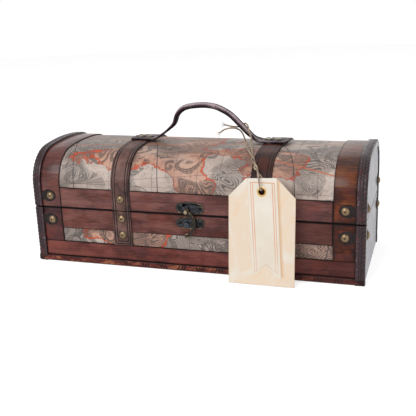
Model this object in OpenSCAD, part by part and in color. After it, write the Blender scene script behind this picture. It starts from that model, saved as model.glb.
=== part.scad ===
// A wooden trunk-style box for one bottle: a straight base, a domed lid on two butt hinges,
// wooden rails and stiles over printed paper, two straps, a leather handle, a swing hook
// latch and a card tag on twine.
// X runs along the box, the front faces -Y, and Z = 0 is the underside.

/* [Case] */
// Length over the corner trims
case_length = 360; // [330:1:390]
// Depth over the front and rear rails
case_depth = 137; // [128:1:150]
// Height of the joint between base and lid
parting_height = 62.5; // [58:0.5:72]
// Gap between the veneers of base and lid
parting_gap = 1; // [0.6:0.1:1.6]

/* [Lid arch] */
// Height of the lid's straight sides
lid_side_height = 24.5; // [22.5:0.5:30]
// Outer radius of the lid's shoulders
shoulder_radius = 37; // [30:1:42]
// Rise of the crown above the shoulders' tops
crown_bulge = 2; // [1:0.5:4]

/* [Boards] */
// Thickness of the base boards and lid ends
board_thickness = 8; // [6:0.5:10]
// Thickness of the floor board
floor_thickness = 6; // [4:0.5:8]
// Thickness of the bent plywood of the lid
dome_ply = 4; // [3:0.5:5]
// Thickness of the felt lining
lining_thickness = 0.8; // [0.6:0.1:1.2]

/* [Rails and stiles] */
// Thickness of the rails, stiles and bands
rail_thickness = 1.5; // [1.2:0.1:2]
// Thickness of the printed paper
paper_thickness = 0.3; // [0.2:0.1:0.4]
// Height of the bottom rail of the base
bottom_rail_height = 17; // [14:0.5:19]
// Height of the paper band of the base
map_band_height = 15.2; // [12:0.2:18]
// Height of the lid's front and rear rails
lid_rail_height = 22.5; // [18:0.5:24]
// Width of the stiles and of the bands above them
stile_width = 22.5; // [18:0.5:28]
// Height of the lid stiles, up to the bands
lid_stile_height = 35.5; // [28:0.5:42]

/* [Trims] */
// Width of the corner trims on the front
trim_width = 9.6; // [8:0.2:12]
// Height of the bottom trims
bottom_trim_height = 7; // [5:0.5:9]
// How far the trims stand proud of the rails
trim_proud = 1.9; // [1.2:0.1:2.6]
// Reach of a corner trim round onto the end board
trim_wrap = 4; // [3:0.1:4.2]
// Thickness of a corner trim on the end board
trim_side = 1; // [0.8:0.1:1.4]

/* [Straps] */
// Width of the straps
strap_width = 21; // [16:1:26]
// Distance between the straps' centre lines
strap_spacing = 152; // [130:1:180]
// Thickness of a strap over the rails
strap_proud = 1.2; // [0.8:0.1:1.8]

/* [Nails and corner plates] */
// Diameter of a nail's domed head
nail_head_d = 9.5; // [8:0.5:11]
// Height of a nail's domed head
nail_head_h = 2.8; // [2:0.1:3.4]
// Diameter of a nail's shank
nail_shank_d = 1.6; // [1.2:0.1:2]
// Length of a nail's shank under its head
nail_length = 6; // [5:0.5:7]
// Distance of the corner nails from the end of the case
corner_nail_inset = 20.3; // [17:0.1:24]
// Distance of the end faces' corner nails from the rails' faces
end_nail_inset = 13; // [12.8:0.1:20]
// Height of the lid's corner and strap nails above the joint
lid_nail_rise = 13; // [11:0.5:15]
// Depth of the base's corner nails below the joint
base_nail_drop = 14; // [12:0.5:16]
// Depth of the upper strap nails below the joint
strap_nail_drop = 8.5; // [7:0.5:10]
// Distance between the two strap nails of the base
strap_nail_pitch = 18; // [12:0.5:19]
// Height of a corner plate
corner_plate_height = 13.5; // [12.5:0.5:16]
// Thickness of a corner plate
corner_plate_thickness = 0.5; // [0.3:0.1:0.8]

/* [Latch] */
// Distance of the latch to the right of the middle
latch_offset = 1.2; // [-4:0.2:6]
// Length of a latch plate
latch_plate_length = 31; // [27:0.5:36]
// Width of a latch plate
latch_plate_width = 13.4; // [12:0.2:15]
// Thickness of a latch plate
latch_plate_thickness = 1.1; // [0.8:0.1:1.5]
// Distance between a latch plate's two screws
latch_screw_pitch = 22; // [19:0.5:24]
// Height of the upper plate's middle above the joint
latch_plate_rise = 7.4; // [7:0.1:9]
// Depth of the lower plate's middle below the joint
catch_plate_drop = 8.6; // [7.5:0.1:10]
// Height of the hook's pivot above the joint
hook_pivot_rise = 4.4; // [4:0.1:5.4]
// Distance of the hook's pivot to the left of the plate's middle
hook_pivot_offset = 3; // [1.5:0.1:4]
// Drop from the hook's pivot to its tip
hook_drop = 26; // [23:0.5:29]
// Bulge of the hook beside the line from pivot to tip
hook_bulge = 8.3; // [7:0.1:9.5]
// Width of the hook's bar
hook_width = 3.5; // [2.4:0.1:3.6]
// Diameter of the hook's eye
hook_eye_d = 7.2; // [6:0.2:8]
// Thickness of the hook
hook_thickness = 2; // [1.6:0.1:2.6]
// Diameter of the hook's rivet
rivet_d = 2.4; // [2:0.1:3]
// Diameter of the catch post
catch_post_d = 5; // [4:0.2:6]

/* [Hinges] */
// Distance between the two hinges' middles
hinge_spacing = 226; // [210:1:240]
// Width of a hinge
hinge_width = 24; // [20:1:30]
// Height of one hinge leaf below its knuckle
hinge_leaf_height = 15; // [12:0.5:17]
// Thickness of a hinge leaf
hinge_leaf_thickness = 1.2; // [1:0.1:1.5]
// Outer diameter of a hinge knuckle
knuckle_d = 6.4; // [5.4:0.1:7]
// Diameter of a hinge pin
hinge_pin_d = 2.6; // [2:0.1:3.2]
// Distance between the two screws of a leaf
hinge_screw_pitch = 13; // [11:0.5:15]

/* [Small screws] */
// Diameter of a screw's head
screw_head_d = 4; // [3.4:0.1:4.6]
// Height of a screw's head
screw_head_h = 0.9; // [0.7:0.1:1.2]
// Diameter of a screw's shank
screw_shank_d = 1.8; // [1.4:0.1:2.2]
// Length of a screw under its head
screw_length = 6; // [5:0.5:7]

/* [Handle] */
// Rise of the handle's middle line above the tabs
handle_rise = 37; // [30:1:45]
// Width of a handle tab
tab_width = 22; // [18:1:26]
// Thickness of a handle tab
tab_thickness = 2.2; // [1.8:0.1:2.8]
// Length of a handle tab
tab_length = 30; // [26:1:34]
// Width of the handle's rolled grip
grip_width = 10; // [8:0.5:13]
// Thickness of the handle's rolled grip
grip_thickness = 6.4; // [5:0.2:8]
// Distance of a tab's middle outwards from the strap's
tab_offset = 1; // [0:0.2:2.4]
// What the left tab is shorter by than the right
left_tab_trim = 6.4; // [5:0.2:7]
// Distance between the two nails of a tab
tab_nail_pitch = 10; // [9.8:0.1:10.6]
// Distance of the left tab's outer nail outwards from the strap's middle
left_nail_offset = 1; // [0.6:0.2:1.6]
// Distance of the right tab's outer nail outwards from the strap's middle
right_nail_offset = 3; // [2:0.2:3.6]

/* [Tag and twine] */
// Width of the card tag
tag_width = 67; // [60:1:72]
// Height of the card tag
tag_height = 107; // [100:0.5:112]
// Height of the tag's straight sides
tag_side_height = 89; // [82:0.5:94]
// Width of the tag's top edge
tag_top_width = 32; // [26:1:38]
// Thickness of the card
tag_thickness = 0.8; // [0.5:0.1:1.2]
// Lean of the tag back towards the box, in degrees
tag_lean = 5.5; // [4:0.5:7]
// Distance of the tag's foot in front of the rails
tag_foot_distance = 21; // [18:0.5:26]
// Distance of the tag's middle to the right of the box's
tag_offset = 80.5; // [74:0.5:88]
// Depth of the eyelet below the tag's top edge
eyelet_drop = 12.5; // [10:0.5:16]
// Outer diameter of the eyelet
eyelet_d = 10.6; // [9:0.2:12]
// Diameter of the eyelet's hole
eyelet_hole_d = 6.4; // [5.6:0.2:7.4]
// Diameter of the twine
twine_d = 1.8; // [1.4:0.1:2]

/* [Hidden] */

$fn = 64;
cut = 1;                  // reach of a cutter past the face it cuts
fit = 0.05;               // radial clearance of a pin in its bore
side_play = 0.15;         // play beside a part that turns
left_right = [-1, 1];

// levels, from the table up
front_y = -case_depth / 2;
half_length = case_length / 2;
base_top = parting_height - parting_gap / 2;
lid_bottom = parting_height + parting_gap / 2;
bottom_rail_top = bottom_trim_height + bottom_rail_height;
map_band_top = bottom_rail_top + map_band_height;
lid_rail_top = parting_height + lid_rail_height;
lid_stile_top = parting_height + lid_stile_height;

// the lid's arch: straight sides, two shoulders and a flat crown that meets them smoothly
spring_z = parting_height + lid_side_height;
shoulder_y = case_depth / 2 - shoulder_radius;
crown_drop = (shoulder_y * shoulder_y - crown_bulge * crown_bulge) / (2 * crown_bulge);
crown_radius = shoulder_radius + crown_drop + crown_bulge;
crown_z = spring_z - crown_drop;
join_angle = atan2(crown_drop, shoulder_y);
lid_top = spring_z + shoulder_radius + crown_bulge;

// depths below the faces of the rails; what stands proud of them is negative
board_inset = rail_thickness;
paper_inset = rail_thickness - paper_thickness;
ply_inset = board_inset + dome_ply;

// lengths along X, from the middle
end_face_x = half_length - trim_side;
inner_x = end_face_x - board_thickness;
trim_x = half_length - trim_width;
stile_x = trim_x - stile_width;
strap_x = strap_spacing / 2;
inner_y = case_depth / 2 - board_inset - board_thickness;

// trims
trim_out = rail_thickness + trim_proud;
bead_r = trim_width * 0.145;
rib_r = trim_width * 0.1;
edge_r = trim_width * 0.205;
end_round = 1.8;          // stretch over which a lid trim's end is rounded
bead_steps = 6;
shoulder_steps = 14;
crown_steps = 8;

// nails and corner plates
corner_nail_x = half_length - corner_nail_inset;
corner_nail_y = case_depth / 2 - end_nail_inset;
lid_nail_z = parting_height + lid_nail_rise;
base_nail_z = parting_height - base_nail_drop;
strap_nail_z = parting_height - strap_nail_drop;
nail_sphere_r = (pow(nail_head_d / 2, 2) + pow(nail_head_h, 2)) / (2 * nail_head_h);
plate_lobe_r = corner_plate_height * 0.46;
plate_bite_r = corner_plate_height * 0.24;

// latch
latch_z = parting_height + latch_plate_rise;
catch_z = parting_height - catch_plate_drop;
plate_front_y = front_y - latch_plate_thickness;
post_length = 1.7;
hook_back_y = plate_front_y - post_length - 2 * side_play;
hook_front_y = hook_back_y - hook_thickness;
rivet_head_h = 1.6;
rivet_head_d = 2.3 * rivet_d;
hook_x = latch_offset - hook_pivot_offset;
hook_z = parting_height + hook_pivot_rise;
hook_radius = (pow(hook_drop / 2, 2) + pow(hook_bulge, 2)) / (2 * hook_bulge);
hook_angle = asin(hook_drop / 2 / hook_radius);
post_x = hook_x - 0.6;
post_z = hook_z - hook_drop * 0.58;

// hinges
knuckle_gap = 0.3;        // between knuckles, and between knuckles and case
hinge_y = case_depth / 2 + knuckle_d / 2 + knuckle_gap;
hinge_x = hinge_spacing / 2;
knuckle_length = (hinge_width - 2 * knuckle_gap) / 3;
leaf_start = knuckle_gap;

// handle: [share of the way from foot to foot, share of the rise] of its middle line
handle_curve = [
    [0, 0], [0.04, 0.02], [0.09, 0.13], [0.15, 0.28], [0.205, 0.46], [0.235, 0.71],
    [0.285, 0.885], [0.35, 0.965], [0.44, 1], [0.52, 1], [0.61, 0.94], [0.72, 0.745],
    [0.81, 0.46], [0.89, 0.2], [0.945, 0.06], [1, 0]];
tab_play = 0.02;          // between a tab and the strap under it
tab_seat_z = lid_top + strap_proud;
tab_mid_z = tab_seat_z + tab_thickness / 2 + tab_play;
tab_outer_x = strap_x + tab_length / 2 + tab_offset;
left_foot_x = tab_length - tab_outer_x;
right_foot_x = tab_outer_x - tab_length;

// tag and twine
tag_foot_z = 0.6;
tag_foot_y = front_y - tag_foot_distance;
eyelet_rim = 0.5;
twine_sides = 8;
twine_steps = 2;
// the twine: tail, knot under the handle, down over the lid to the eyelet and back up,
// over the handle, round it to the knot, and the other tail
twine_route = [
    [19.3, -9, 138.4], [23, -8.4, 140.9], [28, -7.2, 142.2], [33, -4, 141.8],
    [36.6, 0.4, 139.4], [38.8, 3.4, 136], [41, 3.6, 131.8], [42.8, 0.4, 129.5],
    [45.3, -7, 128.4], [51, -22, 127.4], [57.6, -38.4, 124.5], [59.5, -43.3, 124.4],
    [62.1, -47.9, 123.7], [65.1, -51.8, 121.8], [67.4, -55.5, 118.7], [68.5, -59.9, 116],
    [69.5, -65, 114.6], [71.6, -69.8, 114.4], [74.7, -74.1, 113.8], [77.2, -81, 110.6],
    [78.3, -83.7, 107.4], [79.1, -84.8, 103.6], [79.4, -84.6, 100.1], [79.7, -83.2, 97.4],
    [80.1, -80.5, 96.3], [80.6, -77.8, 97.4], [80.6, -76.5, 100.1], [80.4, -76.1, 103.3],
    [79.9, -76.2, 106.3], [78.4, -76.1, 109.3], [75.7, -74.2, 111.4], [73.5, -68.7, 113.4],
    [71.4, -64.6, 116.1], [68.2, -60.9, 118.2], [65.2, -56.7, 119.2], [63.5, -51.7, 120],
    [62.8, -46.8, 121.7], [61.7, -42.3, 124.4], [59.2, -34.5, 127], [55.5, -22.5, 128.8],
    [53.2, -11.7, 131.4], [51.6, -8.6, 134.8], [49.8, -7, 138.8], [48.2, -3.2, 142.4],
    [45.6, 1.4, 144.7], [42.3, 6.2, 145.5], [38.7, 8.9, 143.4], [35.4, 6.6, 141.6],
    [32.4, 1.8, 142.2], [29, -2.2, 143.4], [24, -5.6, 145.2]];

function unit(v) = v / norm(v);
function last(list) = len(list) - 1;
function mix(a, b, t) = a + (b - a) * t;
// smooth curve through the points, in a number of steps per stretch
function spline_point(p, i, t) =
    let (a = p[max(i - 1, 0)], b = p[i], c = p[min(i + 1, last(p))], d = p[min(i + 2, last(p))])
    0.5 * (2 * b + (c - a) * t + (2 * a - 5 * b + 4 * c - d) * t * t
        + (3 * b - a - 3 * c + d) * t * t * t);
function spline(p, steps) = concat(
    [for (i = [0:last(p) - 1], k = [0:steps - 1]) spline_point(p, i, k / steps)], [p[last(p)]]);
function tangents(p) =
    [for (i = [0:last(p)]) unit(p[min(i + 1, last(p))] - p[max(i - 1, 0)])];
function carried_normals(t, i, n) =
    let (m = unit(n - (n * t[i]) * t[i]))
    i == last(t) ? [m] : concat([m], carried_normals(t, i + 1, m));
function ring(p, t, n, w, h, sides) =
    [for (k = [0:sides - 1]) let (a = 360 * (k + 0.5) / sides)
        p + n * (h * sin(a)) + cross(n, t) * (w * cos(a))];
function tube_faces(rings, sides) = concat(
    [[for (k = [0:sides - 1]) k]],
    [for (i = [0:rings - 2], k = [0:sides - 1])
        [i * sides + k, (i + 1) * sides + k, (i + 1) * sides + (k + 1) % sides]],
    [for (i = [0:rings - 2], k = [0:sides - 1])
        [i * sides + k, (i + 1) * sides + (k + 1) % sides, i * sides + (k + 1) % sides]],
    [[for (k = [sides - 1:-1:0]) (rings - 1) * sides + k]]);

module front_and_rear() {
    for (s = [0, 1]) mirror([0, s, 0]) children();
}

module left_and_right() {
    for (s = [0, 1]) mirror([s, 0, 0]) children();
}

// puts a shape drawn flat, facing +Z, on the front face at this depth, facing -Y
module on_front(x, z, y) {
    translate([x, y, z]) rotate([90, 0, 0]) children();
}

// puts a shape drawn flat, facing +Z, on the right end face
module on_end(y, z) {
    translate([end_face_x, y, z]) rotate([90, 0, 90]) children();
}

module slab(x0, x1, y0, y1, z0, z1) {
    translate([x0, y0, z0]) cube([x1 - x0, y1 - y0, z1 - z0]);
}

// ---- the lid's arch ----

module arch_outline(inset, low) {
    a = case_depth / 2 - inset;
    join_y = shoulder_y + (shoulder_radius - inset) * cos(join_angle);
    translate([-a, low]) square([2 * a, spring_z - low]);
    intersection() {
        for (s = left_right) translate([s * shoulder_y, spring_z])
            circle(shoulder_radius - inset, $fn = 96);
        translate([-a, spring_z]) square([2 * a, shoulder_radius]);
    }
    intersection() {
        translate([0, crown_z]) circle(crown_radius - inset, $fn = 360);
        translate([-join_y, spring_z - cut]) square([2 * join_y, lid_top]);
    }
}

module arch_block(x0, x1, inset, low) {
    translate([x0, 0, 0]) rotate([90, 0, 90]) linear_extrude(x1 - x0) arch_outline(inset, low);
}

module arch_skin(x0, x1, outer, inner, low) {
    translate([x0, 0, 0]) rotate([90, 0, 90]) linear_extrude(x1 - x0) difference() {
        arch_outline(outer, low);
        arch_outline(inner, low - cut);
    }
}

// a piece of arch skin on the front, between two heights
module front_skin(x0, x1, low, high) {
    intersection() {
        arch_skin(x0, x1, 0, board_inset, low);
        slab(x0, x1, front_y, 0, low, high);
    }
}

// ---- nails, screws and plates ----

module nail() {
    intersection() {
        translate([0, 0, nail_head_h - nail_sphere_r]) sphere(nail_sphere_r);
        cylinder(d = nail_head_d, h = nail_head_h + cut);
    }
    translate([0, 0, -nail_length]) cylinder(d = nail_shank_d, h = nail_length);
}

module screw() {
    cylinder(d = screw_head_d, h = screw_head_h);
    translate([0, 0, -screw_length]) cylinder(d = screw_shank_d, h = screw_length);
}

// a plate from the trim's edge to a lobe round the nail, with a bite above and below
module corner_plate(reach) {
    bite_x = (plate_lobe_r + reach) / 2;
    linear_extrude(corner_plate_thickness) difference() {
        union() {
            circle(plate_lobe_r);
            translate([0, -corner_plate_height / 2]) square([reach, corner_plate_height]);
        }
        for (s = left_right) translate([bite_x, s * corner_plate_height * 0.6])
            circle(plate_bite_r);
    }
}

module corner_plates(z) {
    left_and_right() front_and_rear() {
        on_front(corner_nail_x, z, front_y) corner_plate(trim_x - corner_nail_x);
        on_end(-corner_nail_y, z) mirror([1, 0, 0])
            corner_plate(case_depth / 2 - board_inset - trim_wrap - corner_nail_y);
    }
}

module corner_nails(z) {
    left_and_right() front_and_rear() {
        on_front(corner_nail_x, z, front_y - corner_plate_thickness) nail();
        translate([corner_plate_thickness, 0, 0]) on_end(-corner_nail_y, z) nail();
    }
}

module strap_nails(levels) {
    left_and_right() front_and_rear()
        for (z = levels) on_front(strap_x, z, front_y - strap_proud) nail();
}

// ---- trims ----

// half a round bead, as [outwards, across] points
function bead(out, across, r) =
    [for (k = [0:bead_steps]) let (a = 180 * k / bead_steps - 90)
        [out + r * cos(a), across + r * sin(a)]];
// section of a corner trim, as [outwards from the board, across its width] points
function corner_trim_section(outward) = concat(
    [[0, 0]],
    bead(outward * trim_out - bead_r, bead_r, bead_r),
    bead(outward * trim_out - bead_r, trim_width * 0.44, rib_r),
    bead(outward * trim_out - edge_r, trim_width - edge_r, edge_r),
    [[-trim_wrap, trim_width], [-trim_wrap, trim_width - trim_side],
        [0, trim_width - trim_side]]);
// the lid's trim as [Y, Z, angle from the front, share of its full height] along the board
function lid_trim_path() = let (
    inner = case_depth / 2 - board_inset,
    crown_angle = 180 - 2 * join_angle,
    // each stretch of the path lies on or over the board's round outline, never inside it
    shoulder = (shoulder_radius - board_inset) / cos(join_angle / shoulder_steps / 2),
    crown = (crown_radius - board_inset) / cos(crown_angle / crown_steps / 2),
    ends = [[0, 0.75], [end_round / 3, 0.93], [end_round, 1]])
    concat(
        [for (e = ends) [-inner, lid_bottom + e[0], 0, e[1]]],
        [for (k = [0:shoulder_steps]) let (a = join_angle * k / shoulder_steps)
            [-shoulder_y - shoulder * cos(a), spring_z + shoulder * sin(a), a, 1]],
        [for (k = [1:crown_steps - 1]) let (a = join_angle + crown_angle * k / crown_steps)
            [-crown * cos(a), crown_z + crown * sin(a), a, 1]],
        [for (k = [0:shoulder_steps])
            let (a = 180 - join_angle * (1 - k / shoulder_steps))
            [shoulder_y - shoulder * cos(a), spring_z + shoulder * sin(a), a, 1]],
        [for (k = [2, 1, 0]) [inner, lid_bottom + ends[k][0], 180, ends[k][1]]]);

// the trim of the right end, following the lid's arch
module lid_trim_arch() {
    path = lid_trim_path();
    sides = len(corner_trim_section(1));
    points = [for (p = path, q = corner_trim_section(p[3]))
        [trim_x + q[1], p[0] - q[0] * cos(p[2]), p[1] + q[0] * sin(p[2])]];
    polyhedron(points, tube_faces(len(path), sides), convexity = 8);
}

module base_corner_trim() {
    inner = case_depth / 2 - board_inset;
    intersection() {
        translate([trim_x, -inner, 0]) rotate([0, 0, -90]) linear_extrude(base_top)
            polygon(corner_trim_section(1));
        // the mitre where the bottom trim meets the corner trim
        rotate([90, 0, 0]) linear_extrude(case_depth) polygon([
            [trim_x - cut, bottom_trim_height], [trim_x, bottom_trim_height], [half_length, 0],
            [half_length + cut, 0], [half_length + cut, base_top + cut],
            [trim_x - cut, base_top + cut]]);
    }
}

module bottom_trim() {
    proud = rail_thickness + trim_proud;
    edge_r = min(bottom_trim_height / 4, proud / 2);
    intersection() {
        translate([-half_length, front_y + board_inset, 0]) rotate([90, 0, 90])
            linear_extrude(case_length) mirror([1, 0, 0]) {
                square([proud - edge_r, bottom_trim_height]);
                translate([0, edge_r]) square([proud, bottom_trim_height - 2 * edge_r]);
                for (z = [edge_r, bottom_trim_height - edge_r])
                    translate([proud - edge_r, z]) circle(edge_r, $fn = 24);
            }
        rotate([90, 0, 0]) linear_extrude(case_depth) polygon([
            [-half_length, 0], [half_length, 0], [trim_x, bottom_trim_height],
            [-trim_x, bottom_trim_height]]);
    }
}

// ---- base ----

module floor_board() {
    color("#b58a60") slab(-inner_x, inner_x, -inner_y, inner_y, 0, floor_thickness);
}

module base_front_board() {
    color("#8a5a40")
        slab(-inner_x, inner_x, front_y + board_inset, -inner_y, 0, parting_height);
}

module base_rear_board() {
    mirror([0, 1, 0]) base_front_board();
}

module base_right_board() {
    color("#5d4347") slab(inner_x, end_face_x, front_y + board_inset, -front_y - board_inset,
        0, parting_height);
}

module base_left_board() {
    mirror([1, 0, 0]) base_right_board();
}

module base_lining() {
    t = lining_thickness;
    color("#3a2622") difference() {
        slab(-inner_x, inner_x, -inner_y, inner_y, floor_thickness, base_top);
        slab(t - inner_x, inner_x - t, t - inner_y, inner_y - t, floor_thickness + t,
            base_top + cut);
    }
}

module front_top_rail() {
    color("#734137") slab(-stile_x, stile_x, front_y, front_y + board_inset,
        map_band_top, base_top);
}

module rear_top_rail() {
    mirror([0, 1, 0]) front_top_rail();
}

module front_bottom_rail() {
    color("#6a3a34") slab(-trim_x, trim_x, front_y, front_y + board_inset,
        bottom_trim_height, bottom_rail_top);
}

module rear_bottom_rail() {
    mirror([0, 1, 0]) front_bottom_rail();
}

module front_map_band() {
    color("#b9a597") slab(-stile_x, stile_x, front_y + paper_inset, front_y + board_inset,
        bottom_rail_top, map_band_top);
}

module rear_map_band() {
    mirror([0, 1, 0]) front_map_band();
}

module base_front_stiles() {
    color("#6e4130") left_and_right()
        slab(stile_x, trim_x, front_y, front_y + board_inset, bottom_rail_top, base_top);
}

module base_rear_stiles() {
    mirror([0, 1, 0]) base_front_stiles();
}

module base_right_corner_trims() {
    color("#2d1e23") front_and_rear() base_corner_trim();
}

module base_left_corner_trims() {
    mirror([1, 0, 0]) base_right_corner_trims();
}

module front_bottom_trim() {
    color("#824b37") bottom_trim();
}

module rear_bottom_trim() {
    mirror([0, 1, 0]) front_bottom_trim();
}

module base_corner_plates() {
    color("#32322d") corner_plates(base_nail_z);
}

module base_corner_nails() {
    color("#c8be8c") corner_nails(base_nail_z);
}

module base_front_straps() {
    x0 = strap_x - strap_width / 2;
    x1 = strap_x + strap_width / 2;
    color("#4b322d") left_and_right() {
        slab(x0, x1, front_y - strap_proud, front_y, bottom_rail_top, base_top);
        slab(x0, x1, front_y - strap_proud, front_y + paper_inset, bottom_rail_top,
            map_band_top);
    }
}

module base_rear_straps() {
    mirror([0, 1, 0]) base_front_straps();
}

module base_strap_nails() {
    color("#c8be8c") strap_nails([strap_nail_z, strap_nail_z - strap_nail_pitch]);
}

// ---- latch ----

module latch_plate_outline() {
    end_r = latch_plate_width * 0.42;
    end_x = latch_plate_length / 2 - end_r;
    waist_r = latch_plate_width * 0.5;
    difference() {
        union() {
            for (s = left_right) translate([s * end_x, 0]) circle(end_r);
            square([2 * end_x, latch_plate_width], center = true);
        }
        for (s = left_right, t = left_right)
            translate([s * (end_x - end_r * 0.2), t * (latch_plate_width / 2 + waist_r * 0.84)])
                circle(waist_r);
        for (s = left_right) translate([s * latch_screw_pitch / 2, 0])
            circle(screw_shank_d / 2 + side_play);
    }
}

module catch_plate() {
    color("#23241f") on_front(latch_offset, catch_z, front_y)
        linear_extrude(latch_plate_thickness) latch_plate_outline();
}

module catch_post() {
    color("#3c444c") on_front(post_x, post_z, plate_front_y)
        cylinder(d = catch_post_d, h = post_length);
}

module latch_screw_pair(z) {
    for (s = left_right)
        on_front(latch_offset + s * latch_screw_pitch / 2, z, plate_front_y) screw();
}

module catch_screws() {
    color("#3a372f") latch_screw_pair(catch_z);
}

module latch_plate() {
    color("#23241f") on_front(latch_offset, latch_z, front_y)
        linear_extrude(latch_plate_thickness) latch_plate_outline();
}

module latch_screws() {
    color("#3a372f") latch_screw_pair(latch_z);
}

// collar on the plate, shaft through the hook and a low domed head in front of it
module latch_rivet() {
    collar_h = plate_front_y - hook_back_y - side_play;
    head_y = hook_front_y - side_play;
    head_sphere_r = (pow(rivet_head_d / 2, 2) + pow(rivet_head_h, 2)) / (2 * rivet_head_h);
    color("#9c8a5c") {
        on_front(hook_x, hook_z, plate_front_y) cylinder(d = rivet_head_d, h = collar_h);
        on_front(hook_x, hook_z, plate_front_y) cylinder(d = rivet_d, h = plate_front_y - head_y);
        on_front(hook_x, hook_z, head_y) intersection() {
            translate([0, 0, rivet_head_h - head_sphere_r]) sphere(head_sphere_r);
            cylinder(d = rivet_head_d, h = rivet_head_h + cut);
        }
    }
}

// the hook hangs from its pivot, bulges to the right and ends in a small scroll
module latch_hook() {
    middle_x = hook_bulge - hook_radius;
    spur_x = middle_x + hook_radius - hook_width / 2;
    color("#6e5f4b") on_front(hook_x, hook_z, hook_back_y) linear_extrude(hook_thickness)
        difference() {
            union() {
                intersection() {
                    translate([middle_x, -hook_drop / 2]) difference() {
                        circle(hook_radius + hook_width / 2, $fn = 96);
                        circle(hook_radius - hook_width / 2, $fn = 96);
                    }
                    translate([0, -hook_drop]) square([hook_bulge + hook_width, hook_drop]);
                }
                circle(d = hook_eye_d);
                translate([0, -hook_drop]) circle(hook_width * 0.72);
                translate([spur_x - hook_width * 0.5, -hook_drop * 0.54])
                    circle(hook_width * 0.4, $fn = 24);
                translate([spur_x - hook_width * 0.5, -hook_drop * 0.54 - hook_width * 0.4])
                    square([hook_width * 0.8, hook_width * 0.8]);
            }
            circle(rivet_d / 2 + fit);
        }
}

// ---- hinges ----

// one knuckle with a bore, along X from the hinge's left end
module knuckle(x) {
    translate([x, hinge_y, parting_height]) rotate([0, 90, 0]) difference() {
        cylinder(d = knuckle_d, h = knuckle_length);
        translate([0, 0, -cut]) cylinder(d = hinge_pin_d + 2 * fit, h = knuckle_length + 2 * cut);
    }
}

// the leaf that hangs below the pin, on the rear face, with a lip out to its knuckle
module leaf(knuckles) {
    rear = case_depth / 2;
    lip_z = parting_height - leaf_start;
    difference() {
        union() {
            slab(-hinge_width / 2, hinge_width / 2, rear, rear + hinge_leaf_thickness,
                lip_z - hinge_leaf_height, lip_z - knuckle_d / 2);
            for (k = knuckles) {
                x = k * (knuckle_length + knuckle_gap) - hinge_width / 2;
                knuckle(x);
                difference() {
                    slab(x, x + knuckle_length, rear, hinge_y, lip_z - knuckle_d / 2 - cut,
                        parting_height - hinge_pin_d / 2 - 2 * fit);
                    translate([0, hinge_y, parting_height]) rotate([0, 90, 0])
                        translate([0, 0, -hinge_width])
                            cylinder(d = knuckle_d - 0.6, h = 2 * hinge_width);
                    slab(x - cut, x + knuckle_length + cut, rear + hinge_leaf_thickness,
                        hinge_y + cut, lip_z - knuckle_d, lip_z - knuckle_d / 2);
                }
            }
        }
        for (s = left_right) translate([s * hinge_screw_pitch / 2, rear - cut,
            lip_z - knuckle_d / 2 - (hinge_leaf_height - knuckle_d / 2) / 2])
                rotate([-90, 0, 0]) cylinder(d = screw_shank_d + 2 * side_play,
                    h = hinge_leaf_thickness + 2 * cut);
    }
}

module leaf_screws() {
    for (s = left_right) translate([s * hinge_screw_pitch / 2,
        case_depth / 2 + hinge_leaf_thickness,
        parting_height - leaf_start - knuckle_d / 2 - (hinge_leaf_height - knuckle_d / 2) / 2])
            rotate([-90, 0, 0]) screw();
}

module at_hinges() {
    for (s = left_right) translate([s * hinge_x, 0, 0]) children();
}

module to_lid_side() {
    translate([0, 0, parting_height]) mirror([0, 0, 1]) translate([0, 0, -parting_height])
        children();
}

module base_hinge_leaves() {
    color("#8d7a4a") at_hinges() leaf([0, 2]);
}

module base_hinge_screws() {
    color("#6f6240") at_hinges() leaf_screws();
}

module hinge_pins() {
    color("#a08c58") at_hinges() translate([-hinge_width / 2, hinge_y, parting_height])
        rotate([0, 90, 0]) cylinder(d = hinge_pin_d, h = hinge_width);
}

module lid_hinge_leaves() {
    color("#8d7a4a") at_hinges() to_lid_side() leaf([1]);
}

module lid_hinge_screws() {
    color("#6f6240") at_hinges() to_lid_side() leaf_screws();
}

// ---- lid ----

module lid_shell() {
    color("#8a5a40") arch_skin(-inner_x, inner_x, board_inset, ply_inset, parting_height);
}

module lid_right_board() {
    color("#5d4347") arch_block(inner_x, end_face_x, board_inset, parting_height);
}

module lid_left_board() {
    mirror([1, 0, 0]) lid_right_board();
}

module lid_lining() {
    t = lining_thickness;
    color("#3a2622") difference() {
        arch_block(-inner_x, inner_x, ply_inset, lid_bottom);
        arch_block(t - inner_x, inner_x - t, ply_inset + t, lid_bottom - cut);
    }
}

module lid_front_rail() {
    color("#734137") front_skin(-stile_x, stile_x, lid_bottom, lid_rail_top);
}

module lid_rear_rail() {
    mirror([0, 1, 0]) lid_front_rail();
}

module lid_map_cover() {
    color("#b9a597") arch_skin(-stile_x, stile_x, paper_inset, board_inset, lid_rail_top);
}

module lid_front_stiles() {
    color("#6e4130") left_and_right()
        front_skin(stile_x, trim_x, lid_bottom, lid_stile_top);
}

module lid_rear_stiles() {
    mirror([0, 1, 0]) lid_front_stiles();
}

module lid_right_band() {
    color("#6b403c") intersection() {
        arch_skin(stile_x, trim_x, 0, board_inset, lid_bottom);
        slab(stile_x, trim_x, front_y, -front_y, lid_stile_top, lid_top + cut);
    }
}

module lid_left_band() {
    mirror([1, 0, 0]) lid_right_band();
}

module lid_right_trim() {
    color("#2d1e23") lid_trim_arch();
}

module lid_left_trim() {
    mirror([1, 0, 0]) lid_right_trim();
}

module lid_right_strap() {
    x0 = strap_x - strap_width / 2;
    x1 = strap_x + strap_width / 2;
    color("#4b322d") translate([x0, 0, 0]) rotate([90, 0, 90]) linear_extrude(strap_width)
        difference() {
            arch_outline(-strap_proud, lid_bottom);
            arch_outline(paper_inset, lid_bottom - cut);
            translate([front_y, 0]) square([case_depth, lid_rail_top]);
        }
}

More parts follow.
